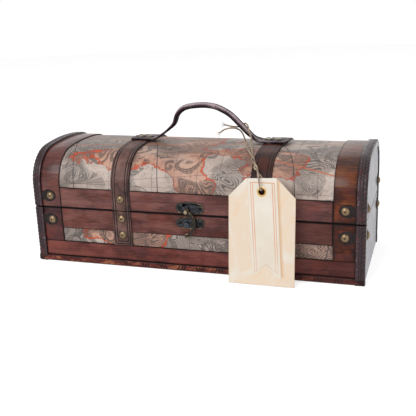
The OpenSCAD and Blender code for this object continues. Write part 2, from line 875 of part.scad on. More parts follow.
module lid_left_strap() {
    mirror([1, 0, 0]) lid_right_strap();
}

module lid_corner_plates() {
    color("#32322d") corner_plates(lid_nail_z);
}

module lid_corner_nails() {
    color("#c8be8c") corner_nails(lid_nail_z);
}

module lid_strap_nails() {
    color("#c8be8c") strap_nails([lid_nail_z]);
}

// ---- handle ----

// half width and half thickness of the handle at this share of the way over
function handle_half_width(s) = s < 0.1 ? mix(tab_width, grip_width * 1.5, s / 0.1) / 2
    : s < 0.3 ? mix(grip_width * 1.5, grip_width, (s - 0.1) / 0.2) / 2
    : s < 0.8 ? grip_width / 2
    : s < 0.93 ? mix(grip_width, grip_width * 1.4, (s - 0.8) / 0.13) / 2
    : mix(grip_width * 1.4, tab_width, (s - 0.93) / 0.07) / 2;
function handle_half_thickness(s) = s < 0.3 ? mix(tab_thickness, grip_thickness, s / 0.3) / 2
    : s < 0.85 ? grip_thickness / 2 : mix(grip_thickness, tab_thickness, (s - 0.85) / 0.15) / 2;

module handle() {
    sides = 12;
    steps = 3;
    foot_span = right_foot_x - left_foot_x;
    arc = spline([for (c = handle_curve)
        [left_foot_x + c[0] * foot_span, 0, tab_mid_z + c[1] * handle_rise]], steps);
    // how far the tab's shape runs on as a flat strip at each end
    path = concat([[left_tab_trim - tab_outer_x, 0, tab_mid_z]], arc, [[tab_outer_x, 0, tab_mid_z]]);
    t = tangents(path);
    shares = concat([0], [for (p = arc) (p[0] - left_foot_x) / foot_span], [1]);
    // a squarish ring at the tabs and an oval one at the grip
    points = [for (i = [0:last(path)]) let (
        n = [-t[i][2], 0, t[i][0]],
        s = shares[i],
        square_up = max(0, 1 - min(s, 1 - s) * 12))
        for (k = [0:sides - 1]) let (
            a = 360 * (k + 0.5) / sides,
            c = sign(cos(a)) * pow(abs(cos(a)), mix(1, 0.35, square_up)),
            d = sign(sin(a)) * pow(abs(sin(a)), mix(1, 0.35, square_up)))
            path[i] + [0, handle_half_width(s) * c, 0] + n * (handle_half_thickness(s) * d)];
    color("#322626") polyhedron(points, tube_faces(len(path), sides), convexity = 6);
}

module handle_nails() {
    left_x = -strap_x - left_nail_offset;
    right_x = strap_x + right_nail_offset;
    color("#c8be8c") for (x = [left_x, left_x + tab_nail_pitch, right_x - tab_nail_pitch, right_x])
        translate([x, 0, tab_mid_z + tab_thickness / 2]) nail();
}

// ---- tag ----

module on_tag(height) {
    translate([tag_offset, tag_foot_y, tag_foot_z]) rotate([-tag_lean, 0, 0])
        translate([0, 0, height]) rotate([90, 0, 0]) children();
}

module hang_tag() {
    w = tag_width / 2;
    t = tag_top_width / 2;
    color("#f0e1c8") on_tag(0) linear_extrude(tag_thickness) difference() {
        polygon([[-w, 0], [w, 0], [w, tag_side_height], [t, tag_height], [-t, tag_height],
            [-w, tag_side_height]]);
        translate([0, tag_height - eyelet_drop])
            circle(eyelet_hole_d / 2 + eyelet_rim);
    }
}

// a rolled ring: a flange on each face of the card and a tube through its hole
module tag_eyelet() {
    color("#b08d4a") on_tag(tag_height - eyelet_drop) translate([0, 0, -eyelet_rim])
        difference() {
            union() {
                cylinder(d = eyelet_d, h = eyelet_rim);
                translate([0, 0, eyelet_rim + tag_thickness])
                    cylinder(d = eyelet_d, h = eyelet_rim);
                cylinder(r = eyelet_hole_d / 2 + eyelet_rim, h = 2 * eyelet_rim + tag_thickness);
            }
            translate([0, 0, -cut]) cylinder(d = eyelet_hole_d, h = tag_thickness + 2 * cut + 2);
        }
}

module tag_twine() {
    path = spline(twine_route, twine_steps);
    t = tangents(path);
    n = carried_normals(t, 0, [0, 0.3, 1]);
    r = twine_d / 2;
    points = [for (i = [0:last(path)]) each ring(path[i], t[i], n[i], r, r, twine_sides)];
    color("#a5917a") polyhedron(points, tube_faces(len(path), twine_sides), convexity = 10);
}

floor_board();
base_front_board();
base_rear_board();
base_left_board();
base_right_board();
base_lining();
front_top_rail();
front_bottom_rail();
rear_top_rail();
rear_bottom_rail();
front_map_band();
rear_map_band();
base_front_stiles();
base_rear_stiles();
base_left_corner_trims();
base_right_corner_trims();
front_bottom_trim();
rear_bottom_trim();
base_corner_plates();
base_corner_nails();
base_front_straps();
base_rear_straps();
base_strap_nails();
catch_plate();
catch_post();
catch_screws();
base_hinge_leaves();
base_hinge_screws();
hinge_pins();
lid_shell();
lid_left_board();
lid_right_board();
lid_lining();
lid_front_rail();
lid_rear_rail();
lid_map_cover();
lid_front_stiles();
lid_rear_stiles();
lid_left_band();
lid_right_band();
lid_left_trim();
lid_right_trim();
lid_left_strap();
lid_right_strap();
lid_corner_plates();
lid_corner_nails();
lid_strap_nails();
handle();
handle_nails();
latch_plate();
latch_screws();
latch_rivet();
lid_hinge_leaves();
lid_hinge_screws();
latch_hook();
hang_tag();
tag_eyelet();
tag_twine();
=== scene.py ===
"""Looks of a trunk-style wooden wine box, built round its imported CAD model.

Each sub-assembly is a class that models its pieces in metres, in the frame of the CAD model,
and dresses them with procedural finishes.
"""

import logging
import math
import random
from dataclasses import dataclass
from enum import Enum
from typing import Callable, Dict, List, Optional, Sequence, Tuple, Union

import bpy
from mathutils import Matrix, Vector, noise


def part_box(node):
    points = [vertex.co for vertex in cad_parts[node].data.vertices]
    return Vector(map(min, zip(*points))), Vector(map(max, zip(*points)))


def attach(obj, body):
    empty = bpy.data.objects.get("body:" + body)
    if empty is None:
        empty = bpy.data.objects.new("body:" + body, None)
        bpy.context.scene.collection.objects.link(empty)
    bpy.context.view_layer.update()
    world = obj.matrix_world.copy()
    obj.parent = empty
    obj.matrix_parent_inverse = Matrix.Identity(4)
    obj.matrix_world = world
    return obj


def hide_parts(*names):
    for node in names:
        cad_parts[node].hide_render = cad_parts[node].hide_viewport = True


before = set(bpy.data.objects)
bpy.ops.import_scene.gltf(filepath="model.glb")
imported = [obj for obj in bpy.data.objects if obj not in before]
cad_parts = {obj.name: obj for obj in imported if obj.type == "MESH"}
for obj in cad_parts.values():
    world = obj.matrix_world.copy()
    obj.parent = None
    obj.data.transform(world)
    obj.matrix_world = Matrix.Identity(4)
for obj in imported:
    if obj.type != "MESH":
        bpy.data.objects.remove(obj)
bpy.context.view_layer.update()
log = logging.getLogger("wine_box")
MM = 0.001
Point = Tuple[float, float, float]
Colour = Tuple[float, float, float, float]


# ---------------------------------------------------------------- sizes


@dataclass(frozen=True)
class CaseSizes:
    """Main sizes of the case in metres, as in the CAD source."""

    half_length: float = 180 * MM
    front_y: float = -68.5 * MM
    board_inset: float = 1.5 * MM
    paper_inset: float = 1.2 * MM
    parting: float = 62.5 * MM
    base_top: float = 62 * MM
    lid_foot: float = 63 * MM
    spring_z: float = 87 * MM
    shoulder_y: float = 31.5 * MM
    shoulder_r: float = 37 * MM
    crown_r: float = 286.0625 * MM
    crown_z: float = -160.0625 * MM
    join_angle: float = math.atan2(247.0625, 31.5)
    trim_x: float = 170.4 * MM
    trim_width: float = 9.6 * MM
    trim_out: float = 3.4 * MM
    trim_wrap: float = 4 * MM
    end_face_x: float = 179 * MM
    stile_x: float = 147.9 * MM
    strap_x: float = 76 * MM
    strap_width: float = 21 * MM
    strap_proud: float = 1.2 * MM
    bottom_trim_top: float = 7 * MM
    bottom_rail_top: float = 24 * MM
    band_top: float = 39.2 * MM
    lid_rail_top: float = 85 * MM
    lid_stile_top: float = 98 * MM


CASE = CaseSizes()


@dataclass(frozen=True)
class LidArch:
    """The lid's outer outline: straight sides, two shoulders and a flat crown."""

    case: CaseSizes = CASE

    @property
    def side(self) -> float:
        """Height of a straight side above the lid's foot."""
        return self.case.spring_z - self.case.lid_foot

    @property
    def shoulder(self) -> float:
        """Length of a shoulder along the face."""
        return self.case.shoulder_r * self.case.join_angle

    @property
    def half_crown_angle(self) -> float:
        """Angle from the middle of the crown to a shoulder."""
        return math.pi / 2 - self.case.join_angle

    @property
    def girth(self) -> float:
        """Length from foot to foot along the face."""
        return 2 * (self.side + self.shoulder + self.case.crown_r * self.half_crown_angle)

    def steps(self, cell: float) -> Tuple[int, int, int]:
        """Steps of about a cell's size for a straight side, a shoulder and the crown."""
        crown = 2 * self.case.crown_r * self.half_crown_angle
        return round(self.side / cell), round(self.shoulder / cell), round(crown / cell)

    def locate(self, point: Vector) -> Tuple[float, Vector, float]:
        """Where a point lies beside the outer face.

        Args:
            point: A point on or near the lid.

        Returns:
            Distance along the face from the front foot, the unit vector out of the face, and
            the height above the face.
        """
        c, y, z = self.case, point.y, point.z
        side = -1 if y < 0 else 1
        turn = math.atan2(y, z - c.crown_z)
        if z <= c.spring_z:
            reach, outward = z - c.lid_foot, Vector((0, side, 0))
            proud = abs(y) + c.front_y
        elif abs(turn) <= self.half_crown_angle:
            return (self.girth / 2 + c.crown_r * turn, Vector((0, math.sin(turn), math.cos(turn))),
                    math.hypot(y, z - c.crown_z) - c.crown_r)
        else:
            across, up = abs(y) - c.shoulder_y, z - c.spring_z
            reach = self.side + c.shoulder_r * math.atan2(up, across)
            outward = Vector((0, y - side * c.shoulder_y, up)).normalized()
            proud = math.hypot(across, up) - c.shoulder_r
        return reach if y < 0 else self.girth - reach, outward, proud

    def along(self, point: Vector) -> float:
        """Distance of a point along the face from the front foot."""
        return self.locate(point)[0]


ARCH = LidArch()


# ---------------------------------------------------------------- shader maths


def tint(code: str) -> Colour:
    """Turns six hexadecimal digits, as seen on a screen, into a linear colour."""
    parts = [int(code[i:i + 2], 16) / 255 for i in (0, 2, 4)]
    red, green, blue = (p / 12.92 if p <= 0.04045 else ((p + 0.055) / 1.055) ** 2.4
                        for p in parts)
    return red, green, blue, 1.0


Value = Union["Sock", float]


def maths(operation: str, swapped: bool = False) -> Callable[..., "Sock"]:
    """Makes a method that adds a Math node, with its two values swapped if asked."""
    def method(self: "Sock", other: Value = 0.0) -> "Sock":
        """Adds the node."""
        values = [other, self] if swapped else [self, other]
        return self.net.node("ShaderNodeMath", {"operation": operation}, values)
    return method


class Sock:
    """A node's output that takes part in sums."""

    def __init__(self, net: "Net", link: bpy.types.NodeSocket) -> None:
        """Keeps the output and the material that it belongs to."""
        self.net = net
        self.link = link

    __add__, __radd__ = maths("ADD"), maths("ADD", True)
    __sub__, __rsub__ = maths("SUBTRACT"), maths("SUBTRACT", True)
    __mul__, __rmul__ = maths("MULTIPLY"), maths("MULTIPLY", True)
    __truediv__ = maths("DIVIDE")
    __abs__ = maths("ABSOLUTE")
    least = maths("MINIMUM")
    most = maths("MAXIMUM")
    saw = maths("FRACT")
    wave = maths("SINE")
    root = maths("SQRT")
    heading = maths("ARCTAN2")


class Net:
    """The node tree of one material, or of the world."""

    def __init__(self, name: str, world: Optional[bpy.types.World] = None) -> None:
        """Makes the material with its Principled shader, or takes the world's tree."""
        self.material = world or bpy.data.materials.new(name)
        self.material.use_nodes = True
        self.tree = self.material.node_tree
        self.shader = self.tree.nodes["Background" if world else "Principled BSDF"]

    def node(self, kind: str, settings: Optional[Dict] = None,
             inputs: Union[Sequence, Dict, None] = None,
             out: Union[int, str] = 0) -> Sock:
        """Adds a node.

        Args:
            kind: The node's type.
            settings: Its properties, and the stops of a ramp under "stops".
            inputs: Values or links of its sockets, in order or by name or number.
            out: Number or name of the output to return.

        Returns:
            The chosen output.
        """
        made = self.tree.nodes.new(kind)
        for key, value in (settings or {}).items():
            if key == "stops":
                self.set_stops(made.color_ramp, value)
            else:
                setattr(made, key, value)
        pairs = inputs.items() if isinstance(inputs, dict) else enumerate(inputs or ())
        for key, value in pairs:
            if isinstance(value, Sock):
                self.tree.links.new(value.link, made.inputs[key])
            elif value is not None:
                made.inputs[key].default_value = value
        return Sock(self, made.outputs[out])

    @staticmethod
    def set_stops(ramp: bpy.types.ColorRamp, stops: Sequence[Tuple[float, Colour]]) -> None:
        """Gives a ramp its stops."""
        while len(ramp.elements) > 1:
            ramp.elements.remove(ramp.elements[-1])
        for k, (place, colour) in enumerate(stops):
            stop = ramp.elements[0] if k == 0 else ramp.elements.new(place)
            stop.position = place
            stop.color = colour

    def place(self) -> Sock:
        """Object coordinates, in metres."""
        return self.node("ShaderNodeTexCoord", out=3)

    def sheet(self, seed: float) -> Tuple[Sock, Sock, Sock]:
        """The piece's own UV map in metres: along, across, and both with a seed as a vector."""
        u, v, _ = self.split(self.node("ShaderNodeUVMap", {"uv_map": Workpiece.UV}))
        return u, v, self.joined(u, v, seed)

    def seen(self) -> Sock:
        """1 for what the camera sees, also in a gloss or through something."""
        camera, glossy, through = (self.node("ShaderNodeLightPath", out=f"Is {kind} Ray")
                                   for kind in ("Camera", "Glossy", "Transmission"))
        return camera.most(glossy).most(through)

    def attribute(self, name: str) -> Sock:
        """A number painted on the mesh."""
        return self.node("ShaderNodeAttribute", {"attribute_name": name}, out=2)

    def split(self, vector: Sock) -> Tuple[Sock, Sock, Sock]:
        """The three parts of a vector."""
        made = self.node("ShaderNodeSeparateXYZ", inputs=[vector])
        outputs = made.link.node.outputs
        return Sock(self, outputs[0]), Sock(self, outputs[1]), Sock(self, outputs[2])

    def joined(self, x: Value, y: Value, z: Value) -> Sock:
        """A vector of three parts."""
        return self.node("ShaderNodeCombineXYZ", inputs=[x, y, z])

    def stretch(self, vector: Sock, by: Point, shift: Point = (0, 0, 0)) -> Sock:
        """The vector scaled in each direction and moved."""
        scaled = self.node("ShaderNodeVectorMath", {"operation": "MULTIPLY"}, [vector, by])
        return self.node("ShaderNodeVectorMath", {"operation": "ADD"}, [scaled, shift])

    def noise(self, vector: Sock, scale: float = 1.0, detail: float = 2.0,
              rough: float = 0.5, twist: float = 0.0) -> Sock:
        """Soft noise about 0.5."""
        return self.node("ShaderNodeTexNoise", None, {
            "Vector": vector, "Scale": scale, "Detail": detail, "Roughness": rough,
            "Distortion": twist})
    def grain(self, vector: Sock, by: Point, detail: float = 2.0, rough: float = 0.5,
              twist: float = 0.0, shift: Point = (0, 0, 0)) -> Sock:
        """Soft noise about 0.5, finer along the directions that are scaled more."""
        return self.noise(self.stretch(vector, by, shift), 1, detail, rough, twist)

    def cells(self, vector: Sock, scale: float, out: int = 0) -> Sock:
        """A pattern of cells: the distance, colour or place of the nearest middle."""
        return self.node("ShaderNodeTexVoronoi", None, {"Vector": vector, "Scale": scale}, out)

    def rise(self, value: Value, start: float, end: float, low: float = 0.0,
             high: float = 1.0) -> Sock:
        """Smooth rise from low to high while the value goes from start to end."""
        return self.node("ShaderNodeMapRange", {"interpolation_type": "SMOOTHSTEP"},
                         [value, start, end, low, high])

    def fade(self, value: Value, start: float, end: float, high: float = 1.0) -> Sock:
        """Smooth fall from high to 0 while the value goes from start to end."""
        return self.rise(value, start, end, high, 0.0)

    def ramp(self, value: Value, *stops: Tuple[float, str]) -> Sock:
        """A colour by value."""
        return self.node("ShaderNodeValToRGB",
                         {"stops": [(place, tint(code)) for place, code in stops]}, [value])

    def mix(self, share: Value, first: Union[Sock, str], second: Union[Sock, str],
            blend: str = "MIX") -> Sock:
        """Mixes two colours."""
        a, b = (tint(c) if isinstance(c, str) else c for c in (first, second))
        return self.node("ShaderNodeMix", {"data_type": "RGBA", "blend_type": blend},
                         {0: share, 6: a, 7: b}, out=2)

    def bump(self, height: Value, distance: float, strength: float = 1.0) -> Sock:
        """A bumped normal."""
        return self.node("ShaderNodeBump", None,
                         {"Height": height, "Distance": distance, "Strength": strength})

    def finish(self, **sockets: Union[Value, Colour]) -> bpy.types.Material:
        """Sets the shader's sockets, whose names have underscores for spaces.

        Returns:
            The finished material.
        """
        for key, value in sockets.items():
            socket = self.shader.inputs[key.replace("_", " ")]
            if isinstance(value, Sock):
                self.tree.links.new(value.link, socket)
            else:
                socket.default_value = value
        return self.material


# ---------------------------------------------------------------- modelling


def to_mode(mode: str) -> None:
    """Switches the active object to OBJECT or EDIT mode."""
    bpy.ops.object.mode_set(mode=mode)


def pick_all() -> None:
    """Selects the whole mesh in edit mode."""
    bpy.ops.mesh.select_all(action="SELECT")


def put_down_tools() -> None:
    """Leaves edit mode and deselects everything."""
    active = bpy.context.view_layer.objects.active
    if active and active.mode != "OBJECT":
        to_mode("OBJECT")
    bpy.ops.object.select_all(action="DESELECT")


class Workpiece:
    """A mesh on the bench, with the operators that shape it."""

    UV = "Surface"
    RELIEF = "relief"

    def __init__(self, obj: bpy.types.Object, name: str) -> None:
        """Takes an object to the bench under its name."""
        self.obj = obj
        obj.name = name
        obj.data.name = name

    # -- starts

    @classmethod
    def block(cls, name: str, low: Sequence[float], high: Sequence[float]) -> "Workpiece":
        """A block between two corners."""
        put_down_tools()
        middle = [(a + b) / 2 for a, b in zip(low, high)]
        bpy.ops.mesh.primitive_cube_add(size=1, location=middle)
        piece = cls(bpy.context.object, name)
        piece.obj.scale = [b - a for a, b in zip(low, high)]
        piece.settle()
        return piece

    @classmethod
    def outline(cls, name: str, points: Sequence[Sequence[float]],
                filled: bool = False) -> "Workpiece":
        """A closed loop through the points."""
        put_down_tools()
        bpy.ops.mesh.primitive_circle_add(
            vertices=len(points), radius=0.01, fill_type="NGON" if filled else "NOTHING")
        piece = cls(bpy.context.object, name)
        for vertex, point in zip(piece.obj.data.vertices, points):
            vertex.co = point
        return piece

    @classmethod
    def panel(cls, name: str, width: float, height: float, cell: float) -> "Workpiece":
        """A flat grid in XY about the origin, with cells of about this size."""
        put_down_tools()
        bpy.ops.mesh.primitive_grid_add(
            x_subdivisions=max(1, round(width / cell)),
            y_subdivisions=max(1, round(height / cell)), size=1)
        piece = cls(bpy.context.object, name)
        piece.obj.scale = (width, height, 1)
        piece.settle()
        return piece

    @classmethod
    def turned(cls, name: str, profile: Sequence[Tuple[float, float]],
               sides: int = 28) -> "Workpiece":
        """A turned shape about Z from (radius, height) points in mm, closed at both ends."""
        put_down_tools()
        (radius, height), *rest = [(r * MM, z * MM) for r, z in profile]
        bpy.ops.mesh.primitive_circle_add(vertices=sides, radius=radius, fill_type="NGON",
                                          location=(0, 0, height))
        piece = cls(bpy.context.object, name)
        piece.settle()
        piece.edit_all()
        for next_radius, next_height in rest:
            piece.extrude((0, 0, next_height - height))
            share = next_radius / radius
            bpy.ops.transform.resize(value=(share, share, 1), center_override=(0, 0, next_height))
            radius, height = next_radius, next_height
        piece.true_up()
        return piece

    @classmethod
    def revolved(cls, name: str, profile: Sequence[Tuple[float, float]],
                 steps: int) -> "Workpiece":
        """A ring about Z from a closed loop of (radius, height) points in mm."""
        piece = cls.outline(name, [(r * MM, 0, z * MM) for r, z in profile])
        piece.edit_all()
        piece.spin(steps, 2 * math.pi, (0, 0, 0), (0, 0, 1))
        piece.weld(1e-6)
        piece.true_up()
        return piece

    @classmethod
    def bar(cls, name: str, section: Sequence[Point], move: Point, times: int) -> "Workpiece":
        """A bar: a section drawn out in equal steps and closed at both ends."""
        piece = cls.outline(name, section)
        piece.edit_all()
        piece.extrude(move, times)
        piece.close_ends()
        return piece

    @classmethod
    def tube(cls, name: str, rings: Sequence[Sequence[Vector]]) -> "Workpiece":
        """A tube through rings of points, rolled from a grid and closed at both ends."""
        put_down_tools()
        sides = len(rings[0])
        bpy.ops.mesh.primitive_grid_add(x_subdivisions=sides - 1,
                                        y_subdivisions=len(rings) - 1, size=1)
        piece = cls(bpy.context.object, name)
        for vertex, point in zip(piece.obj.data.vertices, [p for ring in rings for p in ring]):
            vertex.co = point
        seam = {i * sides + j for i in range(len(rings)) for j in (0, sides - 1)}
        piece.edit()
        to_mode("OBJECT")
        for edge in piece.obj.data.edges:
            a, b = edge.vertices
            edge.select = a in seam and b in seam and abs(a - b) == sides
        to_mode("EDIT")
        bpy.ops.mesh.select_mode(type="EDGE")
        bpy.ops.mesh.bridge_edge_loops()
        to_mode("OBJECT")
        piece.close_ends()
        return piece

    @classmethod
    def from_node(cls, name: str, node: str) -> "Workpiece":
        """A clean copy of a CAD node's mesh, with its flat faces whole."""
        put_down_tools()
        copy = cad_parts[node].copy()
        copy.data = copy.data.copy()
        copy.parent = None
        for key in list(copy.keys()):
            del copy[key]
        bpy.context.scene.collection.objects.link(copy)
        piece = cls(copy, name)
        copy.data.materials.clear()
        piece.edit_all()
        bpy.ops.mesh.customdata_custom_splitnormals_clear()
        piece.weld(2e-6)
        bpy.ops.mesh.dissolve_limited(angle_limit=math.radians(0.6))
        piece.true_up()
        return piece

    def copy(self, name: str, matrix: Matrix) -> "Workpiece":
        """A copy with its own mesh, moved by a matrix."""
        twin = self.obj.copy()
        twin.data = self.obj.data.copy()
        bpy.context.scene.collection.objects.link(twin)
        twin.data.transform(matrix)
        made = Workpiece(twin, name)
        if matrix.determinant() < 0:
            twin.data.flip_normals()
        return made

    # -- the bench

    def activate(self) -> None:
        """Selects this piece alone."""
        put_down_tools()
        self.obj.select_set(True)
        bpy.context.view_layer.objects.active = self.obj

    def edit(self) -> None:
        """Takes the piece into edit mode with nothing selected."""
        self.activate()
        to_mode("EDIT")
        bpy.ops.mesh.select_mode(type="VERT")
        bpy.ops.mesh.select_all(action="DESELECT")

    def edit_all(self) -> None:
        """Takes the piece into edit mode with everything selected."""
        self.edit()
        pick_all()

    @staticmethod
    def weld(reach: float) -> None:
        """In edit mode, merges all vertices that lie within reach of each other."""
        pick_all()
        bpy.ops.mesh.remove_doubles(threshold=reach)

    def settle(self) -> None:
        """Puts the object's place, turn and size into its mesh."""
        self.activate()
        bpy.ops.object.transform_apply(location=True, rotation=True, scale=True)

    def extrude(self, move: Point, times: int = 1) -> None:
        """Extrudes what is selected, in equal steps."""
        step = tuple(m / times for m in move)
        for _ in range(times):
            bpy.ops.mesh.extrude_region_move(TRANSFORM_OT_translate={"value": step})

    def spin(self, steps: int, angle: float, centre: Point, axis: Point = (1, 0, 0)) -> None:
        """Spins what is selected round an axis."""
        bpy.ops.mesh.spin(steps=steps, angle=angle, center=centre, axis=axis)

    def bisect(self, point: Point, normal: Point) -> None:
        """Cuts off what lies behind the plane and closes the cut."""
        self.edit_all()
        bpy.ops.mesh.bisect(plane_co=point, plane_no=normal, clear_inner=True, use_fill=True)
        to_mode("OBJECT")

    def close_ends(self) -> None:
        """Fills the open loops."""
        self.edit()
        bpy.ops.mesh.select_non_manifold(extend=False, use_boundary=True, use_wire=False,
                                         use_multi_face=False, use_non_contiguous=False,
                                         use_verts=False)
        bpy.ops.mesh.edge_face_add()
        self.true_up()

    def true_up(self) -> None:
        """Turns every face outwards."""
        self.edit_all()
        bpy.ops.mesh.normals_make_consistent(inside=False)
        to_mode("OBJECT")

    def modify(self, kind: str, **settings: object) -> "Workpiece":
        """Adds a modifier and applies it."""
        self.activate()
        made = self.obj.modifiers.new(kind.title(), kind)
        for key, value in settings.items():
            setattr(made, key, value)
        bpy.ops.object.modifier_apply(modifier=made.name)
        return self

    def soften(self, width: float, segments: int = 2, angle: float = 40,
               slot: int = -1) -> "Workpiece":
        """Rounds the edges that turn by more than an angle in degrees."""
        return self.modify("BEVEL", width=width, segments=segments, limit_method="ANGLE",
                           angle_limit=math.radians(angle), material=slot, harden_normals=False)

    def smooth(self, angle: float = 35) -> "Workpiece":
        """Shades smooth except over edges sharper than an angle in degrees."""
        self.activate()
        bpy.ops.object.shade_smooth_by_angle(angle=math.radians(angle))
        return self

    def carve(self, rule: Callable[[Vector], Tuple[Vector, float]]) -> "Workpiece":
        """Moves each vertex and paints how high the relief is there, from 0 to 1."""
        mesh = self.obj.data
        painted = mesh.attributes.new(self.RELIEF, "FLOAT", "POINT")
        for k, vertex in enumerate(mesh.vertices):
            place, height = rule(vertex.co.copy())
            vertex.co = place
            painted.data[k].value = height
        mesh.update()
        return self

    def lay_out(self, rule: Callable[[Vector], Tuple[float, float]]) -> "Workpiece":
        """Gives the mesh its surface map, in metres."""
        mesh = self.obj.data
        for layer in list(mesh.uv_layers):
            mesh.uv_layers.remove(layer)
        layer = mesh.uv_layers.new(name=self.UV)
        for loop in mesh.loops:
            layer.data[loop.index].uv = rule(mesh.vertices[loop.vertex_index].co)
        return self

    def join(self, others: Sequence["Workpiece"]) -> "Workpiece":
        """Joins other pieces into this one."""
        self.activate()
        for other in others:
            other.obj.select_set(True)
        bpy.ops.object.join()
        return self

    def discard(self) -> None:
        """Removes a pattern piece that was only copied."""
        bpy.data.objects.remove(self.obj)

    def dress(self, body: "Body", slot: str, *materials: bpy.types.Material,
              replaces: Sequence[str] = ()) -> "Workpiece":
        """Gives the piece its finish and the body that it rides on.

        Args:
            body: The CAD body.
            slot: The record's material slot; not used.
            materials: Materials, in slot order.
            replaces: CAD nodes that the piece stands for.

        Returns:
            The piece.
        """
        for k, material in enumerate(materials):
            if k < len(self.obj.data.materials):
                self.obj.data.materials[k] = material
            else:
                self.obj.data.materials.append(material)
        put_down_tools()
        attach(self.obj, body.value)
        if replaces:
            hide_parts(*replaces)
        log.info("%s rides on %s", self.obj.name, body.value)
        return self


class Body(Enum):
    """The CAD bodies."""

    BASE = "base"
    LID = "lid"
    HOOK = "hook"

    @classmethod
    def of(cls, node: str) -> "Body":
        """The body that carries a plate, nail, screw or lining, by how its node's name starts."""
        return cls.BASE if node.startswith(("base", "catch")) else cls.LID


class Side(Enum):
    """The two ends or faces of a thing, as the sign of their direction."""

    MINUS = -1
    PLUS = 1


def facing(point: Sequence[float], direction: Sequence[float], turn: float = 0.0) -> Matrix:
    """Takes a piece that faces +Z at the origin to a point, facing a direction, turned."""
    spin = Matrix.Rotation(turn, 4, "Z")
    return (Matrix.Translation(point)
            @ Vector(direction).to_track_quat("Z", "Y").to_matrix().to_4x4() @ spin)


def bare_node(node: str, material: bpy.types.Material) -> None:
    """Finishes a CAD node whose shape stays."""
    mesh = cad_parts[node].data
    mesh.materials.clear()
    mesh.materials.append(material)


def scatter(pattern: Workpiece, node: str, places: Sequence[Matrix], slot: str,
            material: bpy.types.Material) -> None:
    """Copies a pattern to each place, as one piece that stands for a CAD node of fasteners.

    Args:
        pattern: What is copied.
        node: The CAD node.
        places: Where the copies go.
        slot: The material slot.
        material: Their finish.
    """
    copies = [pattern.copy(f"{node}_{k}", place) for k, place in enumerate(places)]
    piece = copies[0].join(copies[1:])
    piece.obj.name = node + "_heads"
    piece.dress(Body.of(node), slot, material, replaces=(node,))


def slotted_screw(name: str, sides: int, half_slot: float,
                  reliefs: Tuple[float, float]) -> Workpiece:
    """A pattern of a slotted screw that faces +Z.

    Args:
        name: The pattern's name.
        sides: Corners of its outline.
        half_slot: Half of the slot's width.
        reliefs: Relief in the slot, and on the head.

    Returns:
        The pattern.
    """
    screw = Workpiece.turned(name, [(0.9, -2.0), (0.9, 0.0), (1.95, 0.02), (2.0, 0.25),
                                    (1.9, 0.5), (1.5, 0.76), (0.9, 0.88), (0.3, 0.9)], sides)
    floor = 0.42 * MM

    def carve(p: Vector) -> Tuple[Vector, float]:
        """The slot."""
        if abs(p.y) < half_slot and p.z > floor:
            return Vector((p.x, p.y, floor)), reliefs[0]
        return p, reliefs[1]

    return screw.carve(carve).smooth(50)


def metal_sheet(node: str, ending: str, slot: str, edge_width: float,
                finishes: Sequence[bpy.types.Material],
                shape: Optional[Callable[[Workpiece], None]] = None) -> None:
    """Dresses a CAD sheet, with its rounded edges in the second finish.

    Args:
        node: The CAD node.
        ending: What follows the node's name in the piece's name.
        slot: The material slot.
        edge_width: How far the edges are rounded.
        finishes: Those of the faces and of the edges.
        shape: What is done to the sheet before its edges.
    """
    piece = Workpiece.from_node(f"{node}_{ending}", node)
    for finish in finishes:
        piece.obj.data.materials.append(finish)
    if shape:
        shape(piece)
    piece.soften(edge_width, 2, 50, slot=1).smooth()
    piece.dress(Body.of(node), slot, *finishes, replaces=(node,))


def smooth_line(points: Sequence[Vector], step: float, fewest: int) -> List[Vector]:
    """Closely spaced points on one smooth curve through the given ones, without the last.

    Args:
        points: What the curve passes through.
        step: Rough distance between neighbours.
        fewest: Least number of parts between two given points.

    Returns:
        The points.
    """
    line: List[Vector] = []
    last = len(points) - 1
    for k in range(last):
        a, b = points[max(k - 1, 0)], points[k]
        c, d = points[k + 1], points[min(k + 2, last)]
        parts = max(fewest, round((c - b).length / step))
        for j in range(parts):
            t = j / parts
            line.append(0.5 * (2 * b + (c - a) * t + (2 * a - 5 * b + 4 * c - d) * t * t
                               + (3 * b - a - 3 * c + d) * t ** 3))
    return line


# ---------------------------------------------------------------- finishes


